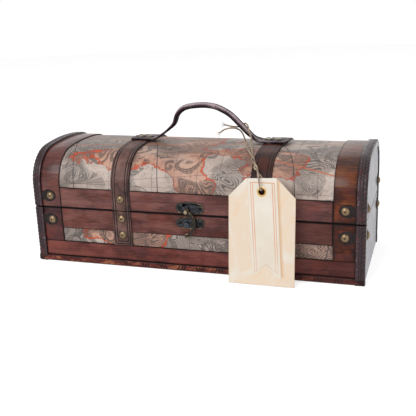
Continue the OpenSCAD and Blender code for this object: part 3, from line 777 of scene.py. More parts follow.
@dataclass(frozen=True)
class WoodFinish:
    """Stained and varnished wood with its grain along U."""

    name: str
    dark: str
    middle: str
    light: str
    roughness: float = 0.42
    coat: float = 0.06
    scorch: float = 0.5
    rim: float = 2.0 * MM
    mottle: float = 0.3
    red: str = "7a3526"
    cool: str = "4a3038"
    black: str = "0c0607"
    joint: Tuple[float, float] = (0.3 * MM, 1.05 * MM)
    # Share of painted shade that darkens the wood towards the right end of the piece.
    fall: float = 0.0

    def material(self, tag: str, seed: float,
                 borders: Tuple[float, float, float, float]) -> bpy.types.Material:
        """Makes the material for one board.

        Args:
            tag: The board's name.
            seed: Place in the noise, so that no two boards are alike.
            borders: Least U, greatest U, least V and greatest V, in metres.

        Returns:
            The material.
        """
        net = Net(f"{self.name}_{tag}")
        u, v, flat = net.sheet(seed)
        figure = net.grain(flat, (11, 150, 1), 3, 0.55, 0.7)
        fibre = net.grain(flat, (90, 760, 1), 3, 0.7)
        pores = net.rise(net.grain(flat, (70, 1500, 1), 1, 0.5, shift=(3, 1, 0)), 0.6, 0.72)
        blotch = net.grain(flat, (26, 44, 1), 3, 0.6, shift=(9, 4, 2))
        tone = figure * 0.3 + fibre * 0.3 + blotch * 0.6 - 0.1
        colour = net.ramp(tone, (0.4, self.dark), (0.53, self.middle), (0.68, self.light))
        colour = net.mix(pores * 0.45, colour, self.dark)
        warm = net.rise(net.grain(flat, (38, 60, 1), 4, 0.7, shift=(6, 6, 6)), 0.46, 0.66, 0.0,
                        self.mottle)
        colour = net.mix(warm, colour, self.red)
        cool = net.rise(net.grain(flat, (34, 90, 1), 4, 0.7, shift=(1, 8, 3)), 0.5, 0.64, 0.0,
                        0.38)
        colour = net.mix(cool, colour, self.cool)
        u0, u1, v0, v1 = borders
        edge = (u - u0).least(u1 - u).least(v - v0).least(v1 - v)
        ragged = edge + (blotch - 0.5) * 3.5 * MM
        scorched = net.fade(ragged, 0.0, self.rim, self.scorch)
        line = net.fade(edge, *self.joint, 0.96)
        # Painted shade: darker towards the right end of the piece.
        far = net.rise(u, u1 - 90 * MM, u1 - 10 * MM, 0.0, self.fall)
        colour = net.mix(far, colour, self.dark)
        colour = net.mix(scorched, colour, net.mix(0.25, "1b0d0c", self.dark))
        colour = net.mix(line, colour, self.black)
        knots = net.rise(net.grain(flat, (30, 190, 1), 2, 0.5, shift=(5, 7, 3)), 0.72, 0.8)
        colour = net.mix(knots * 0.5, colour, "2c1613")
        rough = net.rise(fibre + pores * 0.4, 0.3, 1.1, self.roughness - 0.08,
                         self.roughness + 0.22).most(line)
        bump = net.bump(figure * 0.5 + fibre * 0.3 - pores * 0.5, 0.06 * MM, 0.5)
        return net.finish(Base_Color=colour, Roughness=rough, Normal=bump, Specular_IOR_Level=0.14,
                          Coat_Weight=self.coat, Coat_Roughness=0.3)


@dataclass(frozen=True)
class TrimFinish:
    """Dark ribbed wood, painted darker in its grooves as shade, rubbed on its ridges and lit there
    with painted highlights, with a red cast in its hollows.
    """

    name: str = "ribbed_trim"
    hollow: str = "170e12"
    ridge: str = "3a252b"
    worn: str = "87747a"

    def material(self) -> bpy.types.Material:
        """Makes the material."""
        net = Net(self.name)
        place = net.place()
        relief = net.attribute(Workpiece.RELIEF)
        streak = net.grain(place, (160, 160, 160), 4, 0.65)
        rub = net.grain(place, (60, 60, 60), 3, 0.6, shift=(4, 1, 2))
        # Painted shade: darker where the relief is low, in grooves and leaf dents.
        colour = net.mix(net.rise(relief + (streak - 0.5) * 0.5, 0.2, 0.95),
                         self.hollow, self.ridge)
        thread = net.grain(place, (520, 520, 110), 2, 0.6, shift=(3, 3, 3))
        red = net.rise(rub, 0.46, 0.62, 0.2, 1.0) * net.rise(thread, 0.52, 0.66)
        colour = net.mix(red * 0.6, colour, "6b2822")
        # Wear and painted highlights: light specks where the relief is high.
        wear_and_glint = net.grain(place, (420, 420, 420), 2, 0.6, shift=(7, 2, 2))
        bare = net.rise(relief * 0.4 + streak * 0.4 + wear_and_glint * 0.7, 0.98, 1.12)
        colour = net.mix(bare * 0.7, colour, self.worn)
        hammered = net.grain(place, (380, 380, 380), 2, 0.5, shift=(1, 5, 1))
        rough = net.rise(streak, 0.3, 0.7, 0.22, 0.4)
        return net.finish(Base_Color=colour, Roughness=rough,
                          Normal=net.bump(streak * 0.3 + hammered, 0.45 * MM, 0.7),
                          Specular_IOR_Level=0.16, Coat_Weight=0.28, Coat_Roughness=0.14)


@dataclass(frozen=True)
class MapPaper:
    """Aged printed paper with an invented, engraved chart on it."""

    name: str
    seed: float
    inked: float = 0.0
    foot: float = 22 * MM
    sea: str = "c3b1a6"
    land: str = "c4937d"
    coast: str = "d8501f"
    ink: str = "3f3836"

    def material(self) -> bpy.types.Material:
        """Makes the material."""
        net = Net(self.name)
        u, v, flat = net.sheet(self.seed)
        ragged = net.grain(flat, (120, 120, 1), 4, 0.7, shift=(2, 3, 1)) - 0.5
        ground = net.grain(flat, (9.0, 11.5, 1), 2, 0.4, 0.35)
        ground = ground + net.rise(abs(u + 20 * MM), 30 * MM, 110 * MM, 0.018, -0.05)
        shore = ground + ragged * 0.085
        level = 0.535
        land = net.rise(shore, level - 0.002, level + 0.002)
        foxing = net.grain(flat, (30, 30, 1), 4, 0.62, shift=(7, 2, 5))
        paper = net.ramp(foxing, (0.34, "a8978d"), (0.5, self.sea), (0.66, "d2c3b9"))
        earth = net.ramp(foxing, (0.34, "a97c68"), (0.5, self.land), (0.66, "d1a690"))
        wash = net.rise(shore, level, level + 0.16, 1.0, 0.45)
        colour = net.mix(land * wash, paper, earth)
        climb = (net.rise(v, 48 * MM, 84 * MM, self.inked, self.inked + 0.09)
                 + net.rise(u, -10 * MM, 90 * MM, 0.035, -0.04))
        drawn = self.scrolls(net, flat, ragged, climb).most(self.contours(net, flat, climb))
        colour = net.mix(drawn * net.rise(v, 84 * MM, 110 * MM, 0.88, 0.7), colour, self.ink)
        colour = self.stipple(net, colour, flat)
        colour = self.lines(net, colour, u, v, ragged)
        wide = net.rise(net.grain(flat, (36, 36, 1), 2, shift=(8, 8, 8)), 0.4, 0.62, 0.0012,
                        0.0045)
        away = abs(shore - level)
        shadow = net.fade(away - wide, 0.0015, 0.0045)
        colour = net.mix(shadow * 0.62, colour, self.ink)
        coast = net.fade(away - wide, -0.001, 0.002)
        colour = net.mix(coast * 0.94, colour, net.ramp(foxing, (0.38, "a83a18"),
                                                        (0.56, self.coast)))
        rough = net.rise(foxing, 0.3, 0.7, 0.42, 0.56)
        grain = net.grain(flat, (1500, 1500, 1), 2, 0.6)
        return net.finish(Base_Color=colour, Roughness=rough, Specular_IOR_Level=0.35,
                          Normal=net.bump(grain, 0.03 * MM, 0.5), Coat_Weight=0.08,
                          Coat_Roughness=0.4)

    def scrolls(self, net: Net, flat: Sock, ragged: Sock, more: Value) -> Sock:
        """Engraved curls: spirals of hatched ribbon with a dark edge.

        Args:
            net: The material.
            flat: Place on the paper.
            ragged: Small noise.
            more: How much more than usual is covered.

        Returns:
            How much ink is laid, from 0 to 1.
        """
        sway = net.node("ShaderNodeTexNoise", None,
                        {"Vector": flat, "Scale": 26.0, "Detail": 1.0}, out=1)
        bent = net.node("ShaderNodeVectorMath", {"operation": "MULTIPLY_ADD"},
                        [sway, (0.034, 0.034, 0), net.stretch(flat, (0.8, 1, 1))])
        middle = net.cells(bent, 33, 2)
        away = net.node("ShaderNodeVectorMath", {"operation": "SUBTRACT"}, [bent, middle])
        across, up, _ = net.split(away)
        reach = (across * across + up * up).root()
        turn = up.heading(across) / (2 * math.pi)
        chance, hand, pick = net.split(net.cells(bent, 33, 1))
        handed = net.rise(hand, 0.49, 0.51, -1.0, 1.0)
        phase = reach / (8.6 * MM) - turn * handed + chance + ragged * 0.16
        arm = phase.saw()
        ribbon = net.rise(arm, 0.03, 0.07) * net.fade(arm, 0.5, 0.66)
        hatch = net.rise((phase * (2 * math.pi * 5) + ragged * 3).wave(), -0.5, 0.7)
        strokes = net.rise((turn * (2 * math.pi * 26) + chance * 9).wave(), -0.2, 0.8)
        rim = net.fade(abs(arm - 0.06), 0.025, 0.07)
        inked = (ribbon * (0.46 + hatch * 0.34 + strokes * 0.2)).most(rim)
        reached = net.fade(reach - chance * (6 * MM), 10.5 * MM, 11.3 * MM)
        field = net.grain(flat, (13, 15, 1), 2, 0.5, shift=(12, 5, 9))
        sown = net.rise(field + (pick - 0.5) * 0.3 + more, 0.4, 0.42)
        return inked * sown * reached

    def contours(self, net: Net, flat: Sock, more: Value) -> Sock:
        """Ink of flowing engraved lines that follow each other, as on a chart's waves."""
        flow = net.grain(flat, (17, 30, 1), 2, 0.45, 0.6, shift=(1, 9, 4))
        lines = net.rise((flow * (2 * math.pi * 54)).wave(), -0.2, 0.6)
        patch = net.grain(flat, (19, 24, 1), 2, 0.5, 0.5, shift=(4, 2, 7))
        inside = net.rise(patch + more, 0.54, 0.555)
        tone = net.rise(patch + more, 0.54, 0.66, 0.6, 1.0)
        return inside * tone * (0.34 + lines * 0.62)

    def stipple(self, net: Net, colour: Sock, flat: Sock) -> Sock:
        """Sows fine dots on a colour."""
        speck = net.grain(flat, (820, 820, 1), 2, 0.7)
        coarse = net.grain(flat, (330, 330, 1), 3, 0.7, shift=(5, 5, 5))
        sown = net.rise(net.grain(flat, (21, 21, 1), 2, shift=(3, 9, 6)), 0.36, 0.62, 0.3, 1.0)
        dots = net.rise(speck * 0.5 + coarse * 0.5, 0.5, 0.68)
        return net.mix(dots * sown * 0.85, colour, self.ink)

    def lines(self, net: Net, colour: Sock, u: Sock, v: Sock, ragged: Sock) -> Sock:
        """Draws the chart's frame, its grid, its bold meridians and its straight routes.

        Args:
            net: The material.
            colour: What is drawn on.
            u: Place along the box.
            v: Place round the lid.
            ragged: Small noise.

        Returns:
            The colour with the lines.
        """
        worn = net.rise(ragged, -0.16, 0.02, 0.3, 0.62)
        fine = net.fade(abs((u / 0.0247 + v * 1.4 + self.seed).saw() - 0.5), 0.006, 0.017) * worn
        slant = net.fade(abs((v / 0.034 - u * 3.2 + 0.3).saw() - 0.5), 0.004, 0.012) * worn
        frame_line = net.fade(abs(v - self.foot - 5 * MM), 0.1 * MM, 0.45 * MM, 0.55)
        colour = net.mix(fine.most(slant).most(frame_line), colour, self.ink)
        bow = (v - self.foot) * (v - self.foot) * 3.2
        for place in (-0.128, -0.031, 0.113):
            bold = net.fade(abs(u - place + bow + self.seed * 0.001), 0.3 * MM, 0.8 * MM, 0.8)
            colour = net.mix(bold, colour, "2b2625")
        for slope, offset, strength in ((-0.27, 0.087, 0.85), (0.12, 0.1035, 0.8),
                                        (0.9, 0.245, 0.5)):
            away = abs(v - u * slope - offset + ragged * 0.0005)
            route = net.fade(away, 0.5 * MM, 1.1 * MM, strength)
            colour = net.mix(route, colour, "bf6a45")
        return colour


@dataclass(frozen=True)
class LeatherFinish:
    """Oiled leather with a fine grain, darker along its edges and pressed lines."""

    name: str
    dark: str
    middle: str
    light: str
    roughness: float = 0.42
    grain: float = 900.0
    wear: float = 0.5
    coat: float = 0.08
    gloss: float = 0.18

    def material(self) -> bpy.types.Material:
        """Makes the material, which reads the relief: 0 in a groove, 1 on the face, and above 1
        lighter, as wear and painted highlight.
        """
        net = Net(self.name)
        place = net.place()
        relief = net.attribute(Workpiece.RELIEF)
        cells = net.cells(place, self.grain)
        broad = net.grain(place, (55, 55, 55), 4, 0.62)
        crease = net.rise(net.grain(place, (240, 240, 240), 3, 0.7, 1.2), 0.56, 0.7)
        colour = net.ramp(broad, (0.34, self.dark), (0.56, self.middle), (0.86, self.light))
        colour = net.mix(net.fade(relief, 0.2, 0.85, 0.95), colour, "0d0607")
        # Relief above 1 lightens the colour: wear with some painted highlight on the straps'
        # middle ridge, and a painted highlight along the handle's grip.
        rubbed = net.rise(relief + (broad - 0.5) * 0.6, 1.02, 1.5) * self.wear
        colour = net.mix(rubbed, colour, self.light)
        colour = net.mix(crease * 0.35, colour, "1d1110")
        rough = net.rise(cells + crease * 0.4, 0.0, 0.9, self.roughness, self.roughness + 0.22)
        bump = net.bump(cells * 0.6 + broad * 0.3 - crease * 0.5, 0.16 * MM, 0.6)
        return net.finish(Base_Color=colour, Roughness=rough, Normal=bump,
                          Specular_IOR_Level=self.gloss, Coat_Weight=self.coat,
                          Coat_Roughness=0.24)


@dataclass(frozen=True)
class MetalFinish:
    """Worn metal with dark patina in its low places."""

    name: str
    bare: str
    patina: str
    share: float = 0.5
    metallic: float = 1.0
    roughness: float = 0.34
    spots: float = 420.0
    gloss: float = 0.5

    def material(self) -> bpy.types.Material:
        """Makes the material."""
        net = Net(self.name)
        place = net.place()
        relief = net.attribute(Workpiece.RELIEF)
        mottle = net.noise(place, self.spots, 4, 0.65)
        scratch = net.grain(place, (2600, 900, 2600), 2, 0.6)
        worn = net.rise(relief + (mottle - 0.5) * 0.9 + self.share - 0.5, 0.25, 0.75)
        colour = net.mix(worn, self.patina, self.bare)
        colour = net.mix((scratch - 0.4) * 0.5, colour, self.patina)
        rough = net.rise(mottle, 0.3, 0.7, self.roughness, self.roughness + 0.2)
        bump = net.bump(mottle * 0.6 + scratch * 0.2, 0.08 * MM, 0.7)
        return net.finish(Base_Color=colour, Roughness=rough, Normal=bump,
                          Specular_IOR_Level=self.gloss,
                          Metallic=worn * 0.35 + self.metallic - 0.35)


@dataclass(frozen=True)
class CardFinish:
    """Cream card with a faint peach marbling."""

    name: str = "tag_card"
    half_width: float = 33.5 * MM

    def material(self) -> bpy.types.Material:
        """Makes the material, with U from the tag's middle and V up from its foot."""
        net = Net(self.name)
        u, v, flat = net.sheet(0.4)
        vein = net.grain(flat, (30, 26, 1), 5, 0.6, 1.2)
        crease = net.fade(abs(vein - 0.5), 0.0, 0.045)
        colour = net.ramp(vein, (0.3, "f0d3b2"), (0.44, "efdcc6"), (0.58, "efe2d2"),
                          (0.7, "f2e8db"))
        colour = net.mix(crease * 0.22, colour, "eec7a2")
        colour = self.strip_shadow(net, colour, u, v)
        edge = (self.half_width - abs(u)).least(v)
        colour = net.mix(net.fade(edge, 0.0, 1.0 * MM, 0.35), colour, "d2a67c")
        fibre = net.grain(flat, (900, 900, 1), 2, 0.6)
        return net.finish(Base_Color=colour, Roughness=0.72,
                          Normal=net.bump(fibre, 0.03 * MM, 0.5))

    @staticmethod
    def strip_shadow(net: Net, colour: Sock, u: Sock, v: Sock) -> Sock:
        """Tints the card's colour beside the right edge of its strip."""
        beside = u - TagStrip.middle(v) - TagStrip.half_width
        shade = (net.rise(beside, -0.5 * MM, 0.3 * MM) * net.fade(beside, 0.3 * MM, 4.2 * MM)
                 * net.rise(v, 8 * MM, 11 * MM))
        return net.mix(shade * 0.75, colour, "dcae7e")


@dataclass(frozen=True)
class TagStrip:
    """Pale paper strip with a swallowtail foot and a thin border, glued on the card."""

    name: str = "tag_strip"
    half_width: float = 14.6 * MM
    top: float = 108.6 * MM
    peak: float = 19.4 * MM
    tail: float = 8.2 * MM
    line: float = 11.9 * MM
    inner: float = 9.8 * MM
    bar: float = 5.2 * MM

    @staticmethod
    def middle(v: Union[Sock, float]) -> Union[Sock, float]:
        """Where the strip's middle is at a height above the card's foot."""
        return 6.2 * MM - v * 0.056

    def corners(self) -> List[Tuple[float, float]]:
        """The strip's outline as (u, v) points on the card."""
        return [(self.middle(self.top) - self.half_width, self.top - 1.4 * MM),
                (self.middle(self.tail) - self.half_width, self.tail + 0.8 * MM),
                (self.middle(self.peak), self.peak),
                (self.middle(self.tail) + self.half_width, self.tail - 2.0 * MM),
                (self.middle(self.top) + self.half_width, self.top)]

    def material(self) -> bpy.types.Material:
        """Makes the material, with U from the tag's middle and V up from its foot."""
        net = Net(self.name)
        u, v, flat = net.sheet(1.7)
        across = u - self.middle(v)
        cloud = net.grain(flat, (24, 20, 1), 4, 0.6)
        colour = net.ramp(cloud, (0.36, "e9ddcb"), (0.52, "efe6d8"), (0.66, "f5eee3"))
        edge = self.half_width - abs(across)
        from_bar = v - self.top + self.bar
        inner = net.fade(abs(abs(across) - self.inner), 0.2 * MM, 0.5 * MM)
        stripe = net.fade(abs(abs(across) - self.line), 0.25 * MM, 0.55 * MM, 0.8).most(
            inner * net.fade(from_bar, -MM, 0.0))
        top = net.fade(abs(from_bar), 0.25 * MM, 0.55 * MM)
        slope = (self.peak - self.tail) / self.half_width
        foot = v + abs(across) * slope - self.peak - 2.6 * MM
        chevron = net.fade(abs(foot), 0.2 * MM, 0.45 * MM)
        within = net.rise(self.line + 0.2 * MM - abs(across), 0.0, 0.2 * MM)
        high = net.rise(foot, -0.2 * MM, 0.1 * MM) * net.fade(from_bar, 0.1 * MM, 0.4 * MM)
        drawn = (stripe * high).most((top + chevron) * within)
        colour = net.mix(drawn * net.rise(v, 8 * MM, 60 * MM, 0.45, 0.9), colour, "e08f5e")
        colour = net.mix(net.fade(edge, 0.0, 0.7 * MM, 0.35), colour, "cfc2ad")
        fibre = net.grain(flat, (900, 900, 1), 2, 0.6)
        return net.finish(Base_Color=colour, Roughness=0.68,
                          Normal=net.bump(fibre, 0.03 * MM, 0.5))


@dataclass(frozen=True)
class FibreFinish:
    """Rough fibre: a fine noise over a broad one, each with scale, detail and roughness."""

    name: str
    colours: Tuple[str, str, str]
    fine: Point = (900, 3, 0.65)
    broad: Point = (120, 2, 0.5)
    share: float = 0.6
    low: float = 0.36
    roughness: float = 0.85
    sheen: float = 0.3
    depth: float = 0.12 * MM

    def material(self) -> bpy.types.Material:
        """Makes the material."""
        net = Net(self.name)
        place = net.place()
        tuft, drift = net.noise(place, *self.fine), net.noise(place, *self.broad)
        colour = net.ramp(tuft * self.share + drift * (1 - self.share),
                          *zip((self.low, 0.5, 0.66), self.colours))
        return net.finish(Base_Color=colour, Roughness=self.roughness,
                          Sheen_Weight=self.sheen, Normal=net.bump(tuft, self.depth, 0.8))


@dataclass(frozen=True)
class BoardFinish:
    """Wood seen on plain boards, on Object coordinates, with its grain along one axis, and painted
    shade along the parting.
    """

    name: str
    dark: str
    middle: str
    light: str
    along: Point = (10, 130, 130)
    roughness: float = 0.4
    coat: float = 0.2

    def material(self) -> bpy.types.Material:
        """Makes the material."""
        net = Net(self.name)
        place = net.place()
        figure = net.grain(place, self.along, 4, 0.6, 0.8)
        fine = tuple(6.0 * a for a in self.along)
        fibre = net.grain(place, fine, 2, 0.6)
        cloud = net.grain(place, (22, 22, 22), 3, 0.6)
        colour = net.ramp(figure * 0.55 + fibre * 0.2 + cloud * 0.3, (0.36, self.dark),
                          (0.52, self.middle), (0.7, self.light))
        # Painted shade: near-black with no gloss along the parting between base and lid.
        height = net.split(place)[2]
        parting_shade = net.fade(abs(height - CASE.parting), 0.56 * MM, 0.8 * MM)
        colour = net.mix(parting_shade, colour, "0e0706")
        rough = net.rise(fibre, 0.3, 0.7, self.roughness - 0.06, self.roughness + 0.16)
        return net.finish(Base_Color=colour, Roughness=rough.most(parting_shade),
                          Coat_Weight=(1.0 - parting_shade) * self.coat, Coat_Roughness=0.3,
                          Normal=net.bump(figure * 0.5 + fibre * 0.5, 0.12 * MM, 0.6))


# ---------------------------------------------------------------- camera and light


@dataclass(frozen=True)
class Studio:
    """Camera, floor and soft light."""

    place: Point = (0.240745, -0.737263, 0.283053)
    yaw: float = math.radians(18.2)
    pitch: float = math.radians(16.75)
    roll: float = math.radians(-2.18)
    lens: float = 62.35
    aim: Point = (0, 0, 0.06)

    def build(self) -> None:
        """Sets the camera, the floor, the lamps and the world."""
        self.camera()
        self.floor()
        self.lamps()
        self.world()
        scene = bpy.context.scene
        scene.view_settings.view_transform = "Standard"
        log.info("studio is set")

    def camera(self) -> None:
        """Puts the camera where the photograph was taken."""
        data = bpy.data.cameras.new("camera")
        data.lens = self.lens
        data.sensor_width = 36
        data.clip_start = 0.01
        camera = bpy.data.objects.new("camera", data)
        bpy.context.scene.collection.objects.link(camera)
        back = Vector((math.sin(self.yaw) * math.cos(self.pitch),
                       -math.cos(self.yaw) * math.cos(self.pitch), math.sin(self.pitch)))
        right = Vector((math.cos(self.yaw), math.sin(self.yaw), 0))
        up = back.cross(right)
        tilt_right = math.cos(self.roll) * right + math.sin(self.roll) * up
        tilt_up = math.cos(self.roll) * up - math.sin(self.roll) * right
        turn = Matrix((tilt_right, tilt_up, back)).transposed().to_4x4()
        camera.matrix_world = Matrix.Translation(self.place) @ turn
        bpy.context.scene.camera = camera

    @staticmethod
    def floor() -> None:
        """Lays a plain pale floor that looks white and keeps the box's shadow."""
        put_down_tools()
        bpy.ops.mesh.primitive_circle_add(vertices=96, radius=3, fill_type="NGON",
                                          location=(0, 0, -0.4 * MM))
        floor = bpy.context.object
        floor.name = "floor"
        net = Net("floor")
        net.finish(Base_Color=tint("f4f4f4"), Roughness=0.9, Specular_IOR_Level=0.1)
        glow = net.node("ShaderNodeEmission", None, [tint("ffffff"), 0.66])
        plain = Sock(net, net.shader.outputs[0])
        both = net.node("ShaderNodeAddShader", None, [plain, glow])
        pick = net.node("ShaderNodeMixShader", None, [net.seen(), plain, both])
        net.tree.links.new(pick.link, net.tree.nodes["Material Output"].inputs[0])
        floor.data.materials.append(net.material)

    def lamps(self) -> None:
        """Hangs three soft lamps that shine on the box."""
        for name, place, size, power in (("key", (-0.5, -1.45, 1.05), 1.1, 17.0),
                                         ("top", (0.15, 0.15, 1.6), 1.3, 3.0),
                                         ("fill", (1.3, -0.9, 0.7), 1.2, 4.0)):
            data = bpy.data.lights.new(name, "AREA")
            data.energy = power
            data.size = size
            lamp = bpy.data.objects.new(name, data)
            bpy.context.scene.collection.objects.link(lamp)
            turn = (Vector(self.aim) - Vector(place)).to_track_quat("-Z", "Y")
            lamp.matrix_world = Matrix.Translation(place) @ turn.to_matrix().to_4x4()

    @staticmethod
    def world() -> None:
        """Surrounds the box with white that the camera and glossy faces see."""
        world = bpy.data.worlds.new("studio")
        bpy.context.scene.world = world
        net = Net("studio", world)
        level = net.node("ShaderNodeMapRange", None, [net.seen(), 0.0, 1.0, 0.3, 1.0])
        net.finish(Color=tint("ffffff"), Strength=level)


# ---------------------------------------------------------------- tag and twine


@dataclass
class TagAndTwine:
    """The card tag, its eyelet and the twine that ties it to the handle."""

    JUTE = ("6b5a4c", "ad967d", "dccab0")

    route: Tuple[Point, ...] = (
        (19.3, -9, 138.4), (23, -8.4, 140.9), (28, -7.2, 142.2), (33, -4, 141.8),
        (36.6, 0.4, 139.4), (38.8, 3.4, 136), (41, 3.6, 131.8), (42.8, 0.4, 129.5),
        (45.3, -7, 128.4), (51, -22, 127.4), (57.6, -38.4, 124.5), (59.5, -43.3, 124.4),
        (62.1, -47.9, 123.7), (65.1, -51.8, 121.8), (67.4, -55.5, 118.7), (68.5, -59.9, 116),
        (69.5, -65, 114.6), (71.6, -69.8, 114.4), (74.7, -74.1, 113.8), (77.2, -81, 110.6),
        (78.3, -83.7, 107.4), (79.1, -84.8, 103.6), (79.4, -84.6, 100.1), (79.7, -83.2, 97.4),
        (80.1, -80.5, 96.3), (80.6, -77.8, 97.4), (80.6, -76.5, 100.1), (80.4, -76.1, 103.3),
        (79.9, -76.2, 106.3), (78.4, -76.1, 109.3), (75.7, -74.2, 111.4), (73.5, -68.7, 113.4),
        (71.4, -64.6, 116.1), (68.2, -60.9, 118.2), (65.2, -56.7, 119.2), (63.5, -51.7, 120),
        (62.8, -46.8, 121.7), (61.7, -42.3, 124.4), (59.2, -34.5, 127), (55.5, -22.5, 128.8),
        (53.2, -11.7, 131.4), (51.6, -8.6, 134.8), (49.8, -7, 138.8), (48.2, -3.2, 142.4),
        (45.6, 1.4, 144.7), (42.3, 6.2, 145.5), (38.7, 8.9, 143.4), (35.4, 6.6, 141.6),
        (32.4, 1.8, 142.2), (29, -2.2, 143.4), (24, -5.6, 145.2))
    diameter: float = 1.8 * MM
    plies: int = 3
    ply_sides: int = 6
    lay: float = 5.2 * MM
    step: float = 0.55 * MM
    lean: float = math.radians(5.5)
    tag_x: float = 80.5 * MM
    foot: Tuple[float, float] = (-89.5 * MM, 0.6 * MM)
    eyelet_height: float = 94.5 * MM

    def build(self) -> None:
        """Makes the twine first, then the card and the eyelet."""
        line = self.centre_line()
        eyelet = self.eyelet()
        self.card()
        self.strip()
        tails = self.tails(line)
        twine = self.twine(line)

    @staticmethod
    def length(line: Sequence[Vector]) -> float:
        """Length of a line of points."""
        return sum((b - a).length for a, b in zip(line, line[1:]))

    def centre_line(self) -> List[Vector]:
        """The route as closely spaced points, on one smooth curve."""
        points = [Vector(p) * MM for p in self.route]
        return smooth_line(points, self.step, 2) + [points[-1]]

    def twine(self, line: Sequence[Vector]) -> Workpiece:
        """Three twisted plies along the centre line, with their own small unevenness."""
        sides = self.plies * self.ply_sides
        normal = Vector((0, 0, 1))
        turned = 0.0
        rings: List[List[Vector]] = []
        for i, point in enumerate(line):
            tangent = (line[min(i + 1, len(line) - 1)] - line[max(i - 1, 0)]).normalized()
            normal = (normal - tangent * normal.dot(tangent)).normalized()
            side = tangent.cross(normal)
            if i:
                turned += (point - line[i - 1]).length / self.lay * 2 * math.pi
            swell = 1 + 0.07 * noise.noise(point * 420)
            rings.append([])
            for k in range(sides):
                angle = 2 * math.pi * k / sides
                lobe = abs(math.cos((angle * self.plies) / 2)) ** 0.7
                radius = self.diameter / 2 * (0.74 + 0.3 * lobe) * swell
                way = angle + turned
                rings[-1].append(point + radius * (math.cos(way) * normal + math.sin(way) * side))
        piece = Workpiece.tube("twine", rings).smooth(60)
        return piece.dress(Body.LID, "twine_jute", FibreFinish("jute", self.JUTE).material(),
                           replaces=("tag_twine",))

    def tails(self, line: Sequence[Vector]) -> Workpiece:
        """Frayed fibres at the ends of the centre line and stray ones along it."""
        chance = random.Random(5)
        fibres: List[Workpiece] = []
        spots = [(line[0], (line[0] - line[6]).normalized(), 0.9 * MM, 7.5 * MM)] * 15
        spots += [(line[-1], (line[-1] - line[-7]).normalized(), 0.9 * MM, 7.5 * MM)] * 15
        for _ in range(26):
            i = chance.randrange(8, len(line) - 8)
            spots.append((line[i], (line[i + 4] - line[i]).normalized(), 0.7 * MM, 2.4 * MM))
        for k, (start, way, spread, reach) in enumerate(spots):
            aside = Vector([chance.uniform(-1, 1) for _ in range(3)])
            aside -= way * aside.dot(way)
            begin = start + aside * spread * 0.3 - way * 0.6 * MM
            length = reach * chance.uniform(0.55, 1)
            points = [begin + way * length * t + aside * (0.25 * t + 0.32 * t * t) * length
                      for t in (0, 0.25, 0.5, 0.75, 1)]
            fibres.append(self.fibre(f"fibre_{k}", points, 0.16 * MM))
        piece = fibres[0].join(fibres[1:])
        piece.obj.name = "twine_fibres"
        return piece.dress(Body.LID, "twine_jute", FibreFinish("jute_fibre", self.JUTE).material())

    @staticmethod
    def fibre(name: str, points: Sequence[Vector], radius: float) -> Workpiece:
        """One tapered fibre of three sides through the points."""
        way = (points[-1] - points[0]).normalized()
        side = way.orthogonal().normalized()
        over = way.cross(side)
        corners = [math.cos(a) * side + math.sin(a) * over for a in (0, 2.1, 4.2)]
        piece = Workpiece.outline(name, [points[0] + c * radius for c in corners], True)
        piece.edit_all()
        for a, b in zip(points, points[1:]):
            piece.extrude(tuple(b - a))
            bpy.ops.transform.resize(value=(0.82,) * 3, center_override=tuple(b))
        piece.true_up()
        return piece

    def on_tag(self, height: float) -> Matrix:
        """Place on the tag at this height, with +Z out of its front."""
        y, z = self.foot
        return (Matrix.Translation((self.tag_x, y, z)) @ Matrix.Rotation(-self.lean, 4, "X")
                @ Matrix.Translation((0, 0, height)) @ Matrix.Rotation(math.pi / 2, 4, "X"))

    def card(self) -> Workpiece:
        """The card, with eased edges."""
        piece = Workpiece.from_node("card_tag", "hang_tag")
        piece.soften(0.12 * MM, 1, 50)
        tilt = 1 / math.cos(self.lean)
        piece.lay_out(lambda p: (p.x - self.tag_x, (p.z - self.foot[1]) * tilt))
        return piece.dress(Body.LID, "tag_card", CardFinish().material(), replaces=("hang_tag",))

    def strip(self) -> Workpiece:
        """The paper strip on the card's front, with a hole for the eyelet."""
        finish = TagStrip()
        front, thick = 0.78 * MM, 0.3 * MM
        piece = Workpiece.outline("tag_strip", [(u, v, front) for u, v in finish.corners()], True)
        piece.edit_all()
        piece.extrude((0, 0, thick))
        piece.true_up()
        hole = Workpiece.turned("strip_hole", [(3.5, -2), (3.5, 4)], 40)
        hole.obj.data.transform(Matrix.Translation((0, self.eyelet_height, 0)))
        piece.modify("BOOLEAN", operation="DIFFERENCE", object=hole.obj, solver="EXACT")
        hole.discard()
        piece.lay_out(lambda p: (p.x, p.y))
        piece.obj.data.transform(self.on_tag(0.0))
        return piece.dress(Body.LID, "tag_card", finish.material())

    def eyelet(self) -> Workpiece:
        """A rolled brass ring with a rounded flange on each face of the card."""
        profile = [(3.2, 0.0), (3.35, 0.42), (3.9, 0.5), (4.7, 0.42), (5.3, 0.05),
                   (5.1, -0.02), (3.75, -0.02), (3.7, -0.78), (5.1, -0.78), (5.3, -0.86),
                   (4.7, -1.24), (3.9, -1.3), (3.35, -1.22), (3.2, -0.8)]
        piece = Workpiece.revolved("eyelet_ring", [(r, z + 0.8) for r, z in profile], 40)
        piece.obj.data.transform(self.on_tag(self.eyelet_height))
        piece.carve(lambda p: (p, 0.75)).smooth(50)
        finish = MetalFinish("eyelet_brass", "c4a066", "4f3c22", 0.58, roughness=0.24)
        return piece.dress(Body.LID, "eyelet_brass", finish.material(), replaces=("tag_eyelet",))


# ---------------------------------------------------------------- veneers


